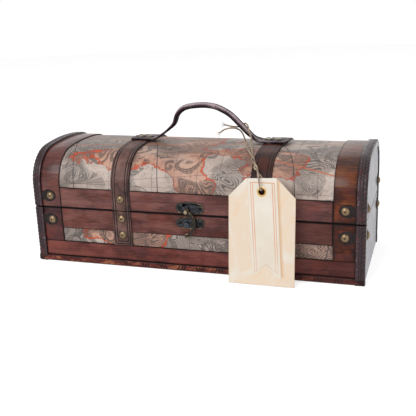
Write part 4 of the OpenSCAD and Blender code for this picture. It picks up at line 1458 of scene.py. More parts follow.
@dataclass
class Veneers:
    """Rails, stiles and bands: thin wood over the boards of base and lid."""

    edge: float = 0.35 * MM
    lid_rail: WoodFinish = WoodFinish("lid_rail", "50302c", "784d48", "90625b", mottle=0.35)
    # The base rails' fall darkens their right ends with painted shade.
    rail: WoodFinish = WoodFinish("rail", "4a2622", "744841", "8b5850", mottle=0.35, fall=0.6)
    low_rail: WoodFinish = WoodFinish("low_rail", "45201d", "753f38", "8b5046", mottle=0.4,
                                      fall=0.65)
    stile: WoodFinish = WoodFinish("stile", "2e1719", "4b2a2b", "643d39", mottle=0.45)
    amber: WoodFinish = WoodFinish("amber", "260e0b", "4e2318", "8a4f2a", mottle=0.55,
                                   red="803a1c", rim=3.4 * MM, scorch=0.8)
    band: WoodFinish = WoodFinish("band", "3f201d", "663a34", "875546", 0.3, 0.32, mottle=0.5)
    right_band: WoodFinish = WoodFinish("right_band", "38180f", "683a24", "8f5f43", 0.3, 0.2,
                                        mottle=0.55, red="85401c", rim=3 * MM)
    seed: float = 0.0
    seed_step: float = 1.7
    left_seed: float = 31.0
    open_end: float = 20 * MM

    def build(self) -> None:
        """Makes every veneer on the front, the rear and the arch."""
        c = CASE
        top, low = c.lid_rail_top, c.bottom_trim_top
        for face, side in (("front", Side.MINUS), ("rear", Side.PLUS)):
            self.strip(f"{face}_top_rail", side, -c.stile_x, c.stile_x, c.band_top,
                       c.base_top, self.rail, Body.BASE, "rail_wood")
            self.strip(f"{face}_bottom_rail", side, -c.trim_x, c.trim_x, low,
                       c.bottom_rail_top, self.low_rail, Body.BASE, "rail_wood")
            self.strip(f"lid_{face}_rail", side, -c.stile_x, c.stile_x, c.lid_foot, top,
                       self.lid_rail, Body.LID, "rail_wood")
            self.stiles(face, side)
        for word, side in (("left", Side.MINUS), ("right", Side.PLUS)):
            self.arch_band(word, side)

    def strip(self, node: str, side: Side, x0: float, x1: float, z0: float, z1: float,
              finish: WoodFinish, body: Body, slot: str,
              replaces: Optional[str] = None) -> Workpiece:
        """One flat veneer on the front or rear.

        Args:
            node: The piece's name, and the CAD node unless replaces is given.
            side: Front or rear.
            x0: Left end.
            x1: Right end.
            z0: Bottom.
            z1: Top.
            finish: The wood.
            body: The CAD body.
            slot: The material slot.
            replaces: The CAD node, or an empty text for none.

        Returns:
            The veneer.
        """
        piece = face_block(node + "_veneer", side, (x0, x1), (z0, z1))
        piece.soften(self.edge, 2)
        piece.lay_out(lambda p: (p.x, p.z)).smooth()
        self.seed += self.seed_step
        foot = self.open_end if node.endswith("stile") else 0.0
        material = finish.material(node, self.seed, (x0, x1, z0 - foot, z1))
        names = (node,) if replaces is None else (replaces,) if replaces else ()
        return piece.dress(body, slot, material, replaces=names)

    def stiles(self, face: str, side: Side) -> None:
        """The two stiles of base and lid on one face."""
        c = CASE
        for word, end in (("left", Side.MINUS), ("right", Side.PLUS)):
            x0, x1 = sorted((end.value * c.stile_x, end.value * c.trim_x))
            low, high = ((self.stile, self.band) if end is Side.MINUS
                         else (self.amber, self.amber))
            self.strip(f"base_{face}_{word}_stile", side, x0, x1, c.bottom_rail_top,
                       c.base_top, low, Body.BASE, "stile_wood",
                       f"base_{face}_stiles" if end is Side.MINUS else "")
            self.arched(f"lid_{face}_{word}_stile", x0, x1, high, "stile_wood",
                        f"lid_{face}_stiles" if end is Side.MINUS else "", self.keep_stile(side))

    @staticmethod
    def keep_stile(side: Side) -> Callable[[Workpiece], None]:
        """A cut that keeps one lid stile of an arch."""
        def cut(piece: Workpiece) -> None:
            piece.bisect((0, 0, CASE.lid_stile_top), (0, 0, -1))
            piece.bisect((0, 0, 0), (0, side.value, 0))
        return cut

    def arch_band(self, word: str, end: Side) -> None:
        """The band that carries a stile over the arch."""
        c = CASE
        x0, x1 = sorted((end.value * c.stile_x, end.value * c.trim_x))
        wood = self.band if end is Side.MINUS else self.right_band
        self.arched(f"lid_{word}_band", x0, x1, wood, "band_wood", f"lid_{word}_band",
                    lambda piece: piece.bisect((0, 0, c.lid_stile_top), (0, 0, 1)))

    def arched(self, name: str, x0: float, x1: float, finish: WoodFinish, slot: str,
               node: str, cut: Callable[[Workpiece], None]) -> None:
        """A veneer bent over the arch, cut to its length.

        Args:
            name: The piece's name.
            x0: Left edge.
            x1: Right edge.
            finish: The wood.
            slot: The material slot.
            node: The CAD node, or an empty text for none.
            cut: What cuts the whole arch to the piece.
        """
        piece = over_the_lid(name + "_veneer", [(x0, -CASE.board_inset), (x1, -CASE.board_inset),
                                                (x1, 0), (x0, 0)], (4, 20, 16))
        cut(piece)
        piece.soften(self.edge, 2)
        piece.lay_out(lambda p: (p.x, ARCH.along(p))).smooth()
        along = [ARCH.along(v.co) for v in piece.obj.data.vertices]
        low, high = min(along), max(along)
        self.seed += self.seed_step
        seed = self.seed if x0 > 0 else self.left_seed
        low -= self.open_end if low > MM else 0.0
        high += self.open_end if high < ARCH.girth - MM else 0.0
        material = finish.material(name, seed, (x0, x1, low, high))
        piece.dress(Body.LID, slot, material, replaces=(node,) if node else ())


def face_block(name: str, side: Side, xs: Tuple[float, float], zs: Tuple[float, float],
               inset: float = 0.0) -> Workpiece:
    """A thin block on the front or rear, from the boards to an inset from the outer face."""
    ys = sorted(side.value * (-CASE.front_y - i) for i in (inset, CASE.board_inset))
    return Workpiece.block(name, (xs[0], ys[0], zs[0]), (xs[1], ys[1], zs[1]))


def over_the_lid(name: str, section: Sequence[Tuple[float, float]],
                 steps: Tuple[int, int, int]) -> Workpiece:
    """Sweeps a section over the lid's arch, from the front foot to the rear foot.

    Args:
        name: The piece's name.
        section: (x, outwards from the lid's outer face) points of a closed loop.
        steps: Steps of a straight side, of a shoulder and of the crown.

    Returns:
        The swept piece, closed at both ends.
    """
    c = CASE
    piece = Workpiece.outline(name, [(x, c.front_y - out, c.lid_foot) for x, out in section])
    piece.edit_all()
    piece.extrude((0, 0, ARCH.side), steps[0])
    piece.spin(steps[1], c.join_angle, (0, -c.shoulder_y, c.spring_z))
    piece.spin(steps[2], 2 * ARCH.half_crown_angle, (0, 0, c.crown_z))
    piece.spin(steps[1], c.join_angle, (0, c.shoulder_y, c.spring_z))
    piece.extrude((0, 0, -ARCH.side), steps[0])
    piece.weld(1e-7)
    piece.close_ends()
    return piece


# ---------------------------------------------------------------- paper


@dataclass
class Papers:
    """The printed paper over the lid and along the base."""

    def build(self) -> None:
        """Lays the cover and the two bands."""
        c = CASE
        cover = over_the_lid("map_cover", [
            (-c.stile_x, -c.board_inset), (c.stile_x, -c.board_inset),
            (c.stile_x, -c.paper_inset), (-c.stile_x, -c.paper_inset)], (2, 24, 20))
        cover.bisect((0, 0, c.lid_rail_top), (0, 0, 1))
        cover.lay_out(lambda p: (p.x, ARCH.along(p))).smooth(20)
        cover.dress(Body.LID, "map_paper", MapPaper("map_cover", 3.1, 0.015).material(),
                    replaces=("lid_map_cover",))
        for face, side, seed in (("front", Side.MINUS, 11.4), ("rear", Side.PLUS, 17.9)):
            band = face_block(f"map_band_{face}", side, (-c.stile_x, c.stile_x),
                              (c.bottom_rail_top, c.band_top), c.paper_inset)
            band.soften(0.05 * MM, 1)
            band.lay_out(lambda p: (p.x * side.value, p.z))
            paper = MapPaper(f"map_band_{face}", seed, 0.13, 0.0)
            band.dress(Body.BASE, "map_paper", paper.material(), replaces=(f"{face}_map_band",))


# ---------------------------------------------------------------- trims


@dataclass
class Trims:
    """Ribbed corner trims and embossed bottom trims."""

    bead_r: float = 1.392 * MM
    rib_r: float = 0.96 * MM
    edge_r: float = 1.968 * MM
    shallow: float = 0.3
    valley: float = 2.3 * MM
    rope_pitch: float = 3.2 * MM
    rope_depth: float = 0.42 * MM
    leaf_pitch: float = 4.3 * MM
    leaf_depth: float = 0.7 * MM
    end_round: float = 1.8 * MM
    cell: float = 0.8 * MM
    tick_group: float = 20.6 * MM
    tick_gap: float = 3.1 * MM
    tick_depth: float = 0.55 * MM
    curls_until: float = -85 * MM
    rib_at: float = 0.44
    groove_at: float = 0.57

    def build(self) -> None:
        """Makes the trims of both ends, front and rear."""
        finish = TrimFinish().material()
        self.lid_trims(finish)
        self.corner_trims(finish)
        self.bottom_trims()

    def section(self, steps: int = 8) -> List[Tuple[float, float]]:
        """The trim's section as (across its width, outwards from the board) points."""
        out, width = CASE.trim_out, CASE.trim_width

        def bead(top: float, across: float, r: float) -> List[Tuple[float, float]]:
            """Half a round bead."""
            turns = [math.pi * k / steps - math.pi / 2 for k in range(steps + 1)]
            return [(across + r * math.sin(a), top + r * math.cos(a)) for a in turns]

        side = width - (CASE.half_length - CASE.end_face_x)
        beads = (bead(out - self.bead_r, self.bead_r, self.bead_r)
                 + bead(out - self.bead_r, width * self.rib_at, self.rib_r)
                 + bead(out - self.edge_r, width - self.edge_r, self.edge_r))
        shallow = [(a, out - (out - o) * (self.shallow if a < width - self.edge_r else 1))
                   for a, o in beads]
        return ([(0.0, 0.0)] + shallow
                + [(width, -CASE.trim_wrap), (side, -CASE.trim_wrap), (side, 0.0)])

    def relief(self, across: float, out: float, along: float) -> Tuple[float, float]:
        """Rope pattern on the rib, and the relief that the finish turns into painted shade in the
        grooves and wear with painted highlights on the ridges.

        Args:
            across: Place over the trim's width.
            out: Height above the board.
            along: Place along the trim.

        Returns:
            How far the surface is pressed in, and the relief from 0 to 1.
        """
        height = max(0.0, min(1.0, (out - self.valley) / (CASE.trim_out - self.valley)))
        rib = abs(across - CASE.trim_width * self.rib_at) < self.rib_r and out > 1.5 * MM
        phase = (along / self.rope_pitch + across / (2.4 * MM)) % 1
        notch = max(0.0, 1 - abs(phase - 0.5) / 0.22)
        if rib:
            return self.rope_depth * notch, height * (1 - 0.75 * notch)
        dent = 0.05 * MM * noise.noise(Vector((across * 700, along * 130, 3)))
        # The valley beside the rib and the leaf dents get a low relief, which the finish paints as
        # shade.
        height *= min(1.0, 0.1 + abs(across - CASE.trim_width * self.groove_at) / (0.9 * MM))
        if across > CASE.trim_width - 2 * self.edge_r:
            lean = along / self.leaf_pitch - across / (5 * MM)
            leaf = 0.5 - 0.5 * math.cos(2 * math.pi * lean)
            leaf *= 0.75 + 0.5 * noise.noise(Vector((along * 160, 7, 2)))
            dent += self.leaf_depth * leaf
            height *= 1 - 0.85 * leaf
        return dent * (out > MM), height

    def eased(self, out: float, from_end: float, share: float) -> float:
        """How far the trim is pressed in near its rounded end."""
        if out > 0 and 0 <= from_end < self.end_round:
            return out * share * (1 - from_end / self.end_round) ** 2
        return 0.0

    def lid_trims(self, finish: bpy.types.Material) -> None:
        """The trims that follow the lid's arch."""
        inset = CASE.board_inset
        section = [(CASE.trim_x + a, o - inset) for a, o in self.section()]
        right = over_the_lid("lid_trim_right", section, ARCH.steps(self.cell))

        def carve(p: Vector) -> Tuple[Vector, float]:
            """Relief, and rounded ends at the parting."""
            along, outward, proud = ARCH.locate(p)
            out = proud + inset
            dent, height = self.relief(p.x - CASE.trim_x, out, along)
            dent += self.eased(out, p.z - CASE.lid_foot, 0.28)
            return p - outward * dent, height

        right.carve(carve).smooth(50)
        left = right.copy("lid_trim_left", Matrix.Scale(-1, 4, (1, 0, 0)))
        for piece, word in ((right, "right"), (left, "left")):
            piece.dress(Body.LID, "trim_wood", finish, replaces=(f"lid_{word}_trim",))

    def corner_trims(self, finish: bpy.types.Material) -> None:
        """The straight trims of the base, cut to a mitre at the foot."""
        inner = -CASE.front_y - CASE.board_inset
        section = [(CASE.trim_x + a, -inner - o, 0.0) for a, o in self.section()]
        piece = Workpiece.bar("corner_trim", section, (0, 0, CASE.base_top),
                              round(CASE.base_top / self.cell))
        height, width = CASE.bottom_trim_top, CASE.trim_width
        piece.bisect((CASE.half_length, 0, 0), (height, 0, width))

        def carve(p: Vector) -> Tuple[Vector, float]:
            """Relief, and a rounded end at the parting."""
            out = -p.y - inner
            dent, height = self.relief(p.x - CASE.trim_x, out, p.z)
            dent += self.eased(out, CASE.base_top - p.z, 0.22)
            return p + Vector((0, dent, 0)), height

        piece.carve(carve).smooth(50)
        flips = (("right", "front", 1, 1), ("right", "rear", 1, -1),
                 ("left", "front", -1, 1), ("left", "rear", -1, -1))
        for word, face, sx, sy in flips:
            turn = Matrix.Diagonal((sx, sy, 1, 1))
            twin = piece.copy(f"corner_trim_{word}_{face}", turn)
            node = f"base_{word}_corner_trims" if face == "front" else None
            twin.dress(Body.BASE, "trim_wood", finish, replaces=(node,) if node else ())
        piece.discard()

    def bottom_trims(self) -> None:
        """The bottom trims, with embossed groups of three ticks and mitred ends."""
        c = CASE
        inner = -c.front_y - c.board_inset
        top, out = c.bottom_trim_top, c.trim_out
        r = out / 2
        arc = [math.pi / 2 * k / 5 for k in range(6)]
        section = ([(0.0, 0.0)]
                   + [(out - r + r * math.sin(a), r - r * math.cos(a)) for a in arc]
                   + [(out, top * k / 10) for k in range(3, 8)]
                   + [(out - r + r * math.cos(a), top - r + r * math.sin(a)) for a in arc]
                   + [(0.0, top)])
        piece = Workpiece.bar("bottom_trim", [(-c.half_length, -inner - o, z) for o, z in section],
                              (2 * c.half_length, 0, 0), 600)
        for side in (-1, 1):
            piece.bisect((side * c.half_length, 0, 0), (-side * top, 0, -c.trim_width))

        def carve(p: Vector) -> Tuple[Vector, float]:
            """Slanting ticks pressed into the outer face."""
            out = -p.y - inner
            group, share = divmod(p.x / self.tick_group, 1)
            place = (share - 0.5) * self.tick_group
            slant = place - (p.z - top / 2) * (0.5 if group % 2 else -0.5)
            nearest = min(abs(slant), abs(abs(slant) - self.tick_gap))
            tick = min(1.0, max(0.0, 1.9 - nearest / (0.62 * MM)))
            curled = p.x < self.curls_until
            tick *= abs(p.z - top * 0.5) < 2.3 * MM and not curled
            swirl = abs(p.z - top * 0.5 - 1.5 * MM * math.sin(place * (760 if curled else 1500)))
            leaf = max(0.0, 1 - swirl / (0.9 * MM)) * 0.8 * (curled or abs(place) > 5.4 * MM)
            cut = max(tick, leaf) * (out > 2.4 * MM and abs(p.x) < c.trim_x - 4 * MM)
            return p + Vector((0, self.tick_depth * cut, 0)), 1 - cut

        piece.carve(carve).lay_out(lambda p: (p.x, p.z)).smooth(50)
        finish = self.bottom_finish()
        for word, sign in (("front", 1), ("rear", -1)):
            twin = piece.copy(f"bottom_trim_{word}", Matrix.Scale(sign, 4, (0, 1, 0)))
            twin.dress(Body.BASE, "bottom_trim_wood", finish, replaces=(f"{word}_bottom_trim",))
        piece.discard()

    @staticmethod
    def bottom_finish() -> bpy.types.Material:
        """Embossed wood, dark in its ticks, rubbed brown between them; painted highlights to the
        left, painted shade at the foot and right end.
        """
        net = Net("embossed_trim")
        u, v, flat = net.sheet(2.5)
        relief = net.attribute(Workpiece.RELIEF)
        streak = net.grain(flat, (60, 900, 1), 3, 0.6)
        patch = net.grain(flat, (95, 210, 1), 3, 0.6, shift=(2, 1, 7))
        colour = net.ramp(streak * 0.4 + patch * 0.65, (0.38, "3a1517"), (0.53, "6b2f29"),
                          (0.66, "93503c"))
        # Painted highlight: light orange patches towards the left end, partly rubbed wood.
        shine = net.rise(patch, 0.52, 0.6) * net.fade(u, 0.02, 0.15)
        colour = net.mix(shine * 0.5, colour, "ae7250")
        colour = net.mix(net.fade(relief, 0.2, 0.85, 0.96), colour, "0f0708")
        # Painted shade along the foot, next to the floor.
        low = net.fade(v, 0.6 * MM, 2.2 * MM, 0.85)
        colour = net.mix(low, colour, "2a110f")
        top = net.rise(v, CASE.bottom_trim_top - 1.5 * MM, CASE.bottom_trim_top - 0.5 * MM,
                       0.0, 0.92)
        colour = net.mix(top, colour, "100707")
        # Painted shade: darker towards the right end.
        far = net.rise(u, 0.06, 0.15, 0.0, 0.6)
        colour = net.mix(far, colour, "3a1c1a")
        ends = net.rise(abs(u) + v * 1.37, CASE.half_length - 5 * MM,
                        CASE.half_length - 1 * MM, 0.0, 0.85)
        colour = net.mix(ends, colour, "140a0a")
        return net.finish(Base_Color=colour, Coat_Weight=0.06, Coat_Roughness=0.3,
                          Specular_IOR_Level=0.14, Roughness=net.rise(patch, 0.3, 0.7, 0.36, 0.55),
                          Normal=net.bump(streak, 0.1 * MM, 0.6))


# ---------------------------------------------------------------- straps and handle


@dataclass
class Leather:
    """The straps and the carrying handle."""

    groove: float = 0.55 * MM
    lines: Tuple[float, float] = (1.9 * MM, 4.5 * MM)
    stitch: float = 2.9 * MM
    cell: float = 0.75 * MM
    strap_finish: LeatherFinish = LeatherFinish("strap_leather", "33221f", "6e4e48", "9c7a71",
                                                0.36)
    right_finish: LeatherFinish = LeatherFinish("right_strap_leather", "28110d", "54291f",
                                                "7d4a38", 0.36)
    # The handle's light colour is mostly painted highlight, laid along its grip.
    handle_finish: LeatherFinish = LeatherFinish("handle_leather", "1a1013", "35242a", "cbb6bc",
                                                 0.34, 1100.0, 0.9, 0.12, 0.05)

    def build(self) -> None:
        """Makes the straps, then the handle."""
        finish = self.strap_finish.material()
        self.lid_straps(finish)
        self.base_straps(finish)
        self.handle()

    def pressed(self, from_edge: float, along: float) -> Tuple[float, float]:
        """Depth and relief of the two stitched lines beside an edge.

        Args:
            from_edge: Distance from the nearest edge.
            along: Place along it.

        Returns:
            How far the face is pressed in, and the relief.
        """
        depth = 0.0
        thread = 0.0
        for k, line in enumerate(self.lines):
            near = max(0.0, 1 - abs(from_edge - line) / (1.0 * MM)) ** 0.6
            phase = (along / self.stitch + 0.5 * k) % 1
            hole = max(0.0, 1 - abs(phase - 0.5) / 0.2)
            depth = max(depth, self.groove * near * (0.55 + 0.45 * hole))
            thread = max(thread, near)
        round_off = max(0.0, 1 - from_edge / (0.7 * MM))
        # The ridge between the two lines is painted lighter: partly wear, partly a painted
        # highlight.
        ridge = max(0.0, 1 - abs(from_edge - sum(self.lines) / 2) / (0.7 * MM))
        relief = 1 - 0.95 * thread - 0.8 * round_off + 0.4 * ridge
        return depth + 0.35 * MM * round_off ** 2, relief

    def lid_straps(self, finish: bpy.types.Material) -> None:
        """The straps over the arch."""
        c = CASE
        half = c.strap_width / 2
        cells = round(c.strap_width / (0.5 * MM))
        top = [(half - c.strap_width * k / cells, c.strap_proud) for k in range(cells + 1)]
        section = [(c.strap_x + x, out) for x, out in
                   [(-half, -c.paper_inset), (half, -c.paper_inset)] + top]
        right = over_the_lid("lid_strap_right", section, ARCH.steps(self.cell))

        def carve(p: Vector) -> Tuple[Vector, float]:
            """Stitched lines on the outer face, and a base that clears the rails."""
            along, outward, out = ARCH.locate(p)
            if out < 0.5 * MM:
                rail = p.z < c.lid_rail_top + 0.2 * MM
                lift = c.paper_inset if rail else 0.0
                return p + outward * lift, 0.1
            dent, height = self.pressed(half - abs(p.x - c.strap_x), along)
            sway = 0.1 * MM * noise.noise(Vector((p.x * 60, along * 35, 1)))
            return p - outward * (dent + abs(sway)), height

        right.carve(carve).smooth(55)
        left = right.copy("lid_strap_left", Matrix.Scale(-1, 4, (1, 0, 0)))
        russet = self.right_finish.material()
        for piece, word, made in ((right, "right", russet), (left, "left", finish)):
            piece.dress(Body.LID, "strap_leather", made, replaces=(f"lid_{word}_strap",))

    def base_straps(self, finish: bpy.types.Material) -> None:
        """The short straps of the base, whose stitching turns round at the foot."""
        c = CASE
        width, tall = c.strap_width, c.base_top - c.bottom_rail_top
        piece = Workpiece.panel("base_strap", width, tall, 0.5 * MM)
        piece.edit_all()
        piece.extrude((0, 0, -c.strap_proud))
        piece.true_up()

        def carve(p: Vector) -> Tuple[Vector, float]:
            """Stitched lines on the outer face."""
            if p.z < -0.1 * MM:
                return p, 0.1
            side, foot = width / 2 - abs(p.x), p.y + tall / 2
            along = p.x if foot < side else p.y
            dent, height = self.pressed(min(side, foot), along)
            return p - Vector((0, 0, dent)), height

        piece.carve(carve).smooth(55)
        middle = (c.bottom_rail_top + c.base_top) / 2
        for face, sy in (("front", -1), ("rear", 1)):
            for word, sx in (("left", -1), ("right", 1)):
                matrix = facing((sx * c.strap_x, sy * (-c.front_y + c.strap_proud), middle),
                                (0, sy, 0))
                up = (matrix.to_3x3() @ Vector((0, 1, 0))).z
                matrix = matrix @ Matrix.Rotation(0 if up > 0 else math.pi, 4, "Z")
                twin = piece.copy(f"base_strap_{face}_{word}", matrix)
                twin.dress(Body.BASE, "strap_leather", finish,
                           replaces=(f"base_{face}_straps",) if sx < 0 else ())
        piece.discard()

    # -- handle

    RISE = 37 * MM
    FOOT = 62 * MM
    TAB_END = 92 * MM
    LEFT_END = 85.6 * MM
    TAB_Z = 128.32 * MM
    # Angle round the grip of the painted highlight.
    HIGHLIGHT_ANGLE = math.radians(132)
    CURVE = ((0, 0), (0.04, 0.02), (0.09, 0.13), (0.15, 0.28), (0.205, 0.46),
             (0.235, 0.71), (0.285, 0.885), (0.35, 0.965), (0.44, 1), (0.52, 1),
             (0.61, 0.94), (0.72, 0.745), (0.81, 0.46), (0.89, 0.2), (0.945, 0.06), (1, 0))

    def handle_line(self) -> List[Tuple[Vector, float]]:
        """Points of the handle's middle line, each with its share of the way over."""
        points = [Vector((-self.FOOT + a * 2 * self.FOOT, 0, self.TAB_Z + b * self.RISE))
                  for a, b in self.CURVE]
        step = (self.LEFT_END - self.FOOT) / 18
        line: List[Vector] = [Vector((-self.LEFT_END + k * step, 0, self.TAB_Z))
                              for k in range(18)]
        line += smooth_line(points, 1.6 * MM, 3)
        reach = self.TAB_END - self.FOOT
        line += [Vector((self.FOOT + reach * k / 24, 0, self.TAB_Z + self.curl(reach * k / 24)))
                 for k in range(25)]
        return [(p, min(1, max(0, (p.x + self.FOOT) / (2 * self.FOOT)))) for p in line]

    @staticmethod
    def curl(reach: float) -> float:
        """How far the right tab's end has lifted at a distance from its foot."""
        return 1.6 * MM * max(0.0, (reach - 24.5 * MM) / (5.5 * MM)) ** 2

    @staticmethod
    def blend_sizes(share: float, stops: Sequence[Tuple[float, float]]) -> float:
        """A size that goes smoothly from stop to stop."""
        for (s0, a), (s1, b) in zip(stops, stops[1:]):
            if share <= s1:
                t = (share - s0) / (s1 - s0)
                return a + (b - a) * t * t * (3 - 2 * t)
        return stops[-1][1]

    def handle(self) -> None:
        """The handle: flat tabs that draw in to a rolled grip."""
        widths = ((0, 10.8), (0.06, 8.6), (0.12, 6.6), (0.3, 4.9), (0.8, 4.9), (0.92, 6.9),
                  (0.97, 9.4), (1, 10.8))
        depths = ((0, 1.08), (0.1, 1.3), (0.3, 3.1), (0.85, 3.1), (0.95, 1.7), (1, 1.08))
        line = self.handle_line()
        sides = 20
        rings: List[List[Vector]] = []
        painted: List[float] = []
        for i, (point, share) in enumerate(line):
            ahead = line[min(i + 1, len(line) - 1)][0] - line[max(i - 1, 0)][0]
            tangent = ahead.normalized()
            over = Vector((-tangent.z, 0, tangent.x))
            half_width = self.blend_sizes(share, widths) * MM
            half_depth = self.blend_sizes(share, depths) * MM
            square = max(0.0, 1 - min(share, 1 - share) * 10)
            power = 1 - 0.66 * square
            end = min(point.x + self.LEFT_END, self.TAB_END - point.x)
            if end < 3 * MM:
                half_width *= 0.86 + 0.14 * end / (3 * MM)
            rings.append([])
            for k in range(sides):
                angle = 2 * math.pi * (k + 0.5) / sides
                cos, sin = math.cos(angle), math.sin(angle)
                a = math.copysign(abs(cos) ** power, cos)
                b = math.copysign(abs(sin) ** power, sin)
                lump = 1 + 0.035 * noise.noise(point * 90 + Vector((0, angle, 0)))
                # The seam is pressed in and painted dark; on the grip it runs along the lower side
                # as painted shade of that edge, on the tabs along the top as stitching.
                seam = 0.0
                if (sin > 0) == (square > 0.1) and 0.6 < abs(cos) < 0.9:
                    seam = (0.16 + 0.12 * square * (i % 2)) * MM
                rings[-1].append(point + Vector((0, half_width * a, 0)) * lump
                                 + over * (half_depth * b - seam))
                # Painted highlight: a light streak along the grip, broken by fine creases.
                streak = max(0.0, 1 - abs(angle - self.HIGHLIGHT_ANGLE) / 0.85) * (0.72 + 0.28 * (i % 2))
                painted.append(0.35 if seam else 0.95 + 0.6 * streak)
        piece = Workpiece.tube("carry_handle", rings)
        reliefs = iter(painted)
        piece.carve(lambda p: (p, next(reliefs))).smooth(60)
        piece.dress(Body.LID, "handle_leather", self.handle_finish.material(),
                    replaces=("handle",))


# ---------------------------------------------------------------- nails and plates


@dataclass
class Nails:
    """Domed nails, each with its own small turn and dents; their places are in mm."""

    radius: float = 4.75 * MM
    corner_x: float = 159.7
    corner_y: float = 55.5
    end_x: float = 179.5
    front_y: float = 69.0
    strap_x: float = 76.0
    strap_y: float = 69.7
    handle_xs: Tuple[float, ...] = (-77, -67, 69, 79)
    handle_z: float = 129.42
    finish: MetalFinish = MetalFinish("nail_brass", "7d6a52", "231a14", 0.44, roughness=0.24,
                                      spots=300.0)
    # A paler copy of the nail brass for the handle's upward-facing nails: painted highlight for
    # the light they catch.
    pale: MetalFinish = MetalFinish("handle_nail", "a39b8e", "1c1714", 0.32, roughness=0.2,
                                    spots=420.0)

    def pattern(self) -> Workpiece:
        """One nail, facing +Z, with a rolled rim."""
        profile = [(0.8, -2.0), (0.8, -0.05), (4.3, 0.0), (4.68, 0.16), (4.75, 0.42),
                   (4.6, 0.72), (4.3, 0.92), (4.0, 1.16), (3.5, 1.62), (2.8, 2.1),
                   (2.0, 2.46), (1.15, 2.7), (0.35, 2.78)]
        nail = Workpiece.turned("nail_pattern", profile)

        def carve(p: Vector) -> Tuple[Vector, float]:
            """Small dents, a darker ring near the rim and a dark speck in the middle."""
            r = math.hypot(p.x, p.y) / self.radius
            dent = 0.12 * MM * noise.noise(p * 520) if p.z > MM else 0.0
            ring = max(0.0, 1 - abs(r - 0.9) / 0.09)
            return p + Vector((0, 0, dent)), 0.78 - 0.6 * ring - 0.8 * (r < 0.14)

        return nail.carve(carve).smooth(60)

    def build(self) -> None:
        """Drives every nail."""
        nail = self.pattern()
        material, pale = self.finish.material(), self.pale.material()
        chance = random.Random(11)
        spots: Dict[str, List[Tuple[Point, Point]]] = {
            "base_corner_nails": [], "lid_corner_nails": [], "base_strap_nails": [],
            "lid_strap_nails": [], "handle_nails": []}
        for sx in (-1, 1):
            for sy in (-1, 1):
                for node, z in (("base_corner_nails", 48.5), ("lid_corner_nails", 75.5)):
                    spots[node] += [((sx * self.corner_x, sy * self.front_y, z), (0, sy, 0)),
                                    ((sx * self.end_x, sy * self.corner_y, z), (sx, 0, 0))]
                for node, z in (("base_strap_nails", 54.0), ("base_strap_nails", 36.0),
                                ("lid_strap_nails", 75.5)):
                    spots[node].append(((sx * self.strap_x, sy * self.strap_y, z), (0, sy, 0)))
        spots["handle_nails"] = [((x, 0, self.handle_z), (0, 0, 1)) for x in self.handle_xs]
        for node, places in spots.items():
            matrices = [facing([v * MM for v in place], way, chance.uniform(0, 6.28))
                        for place, way in places]
            # The handle's nails take the paler copy, as painted highlight.
            made = pale if node == "handle_nails" else material
            scatter(nail, node, matrices, "nail_brass", made)
        nail.discard()


@dataclass
class Plates:
    """Blackened corner plates with rubbed edges."""

    def build(self) -> None:
        """Dresses the plates of base and lid."""
        face = MetalFinish("corner_plate", "544a49", "221c1d", 0.85, 0.6, 0.5,
                           gloss=0.15).material()
        edge = MetalFinish("corner_plate_edge", "6b6250", "1f1b17", 0.9, 0.9, 0.4,
                           gloss=0.2).material()
        for node in ("base_corner_plates", "lid_corner_plates"):
            metal_sheet(node, "sheet", "corner_plate", 0.13 * MM, (face, edge))


# ---------------------------------------------------------------- latch


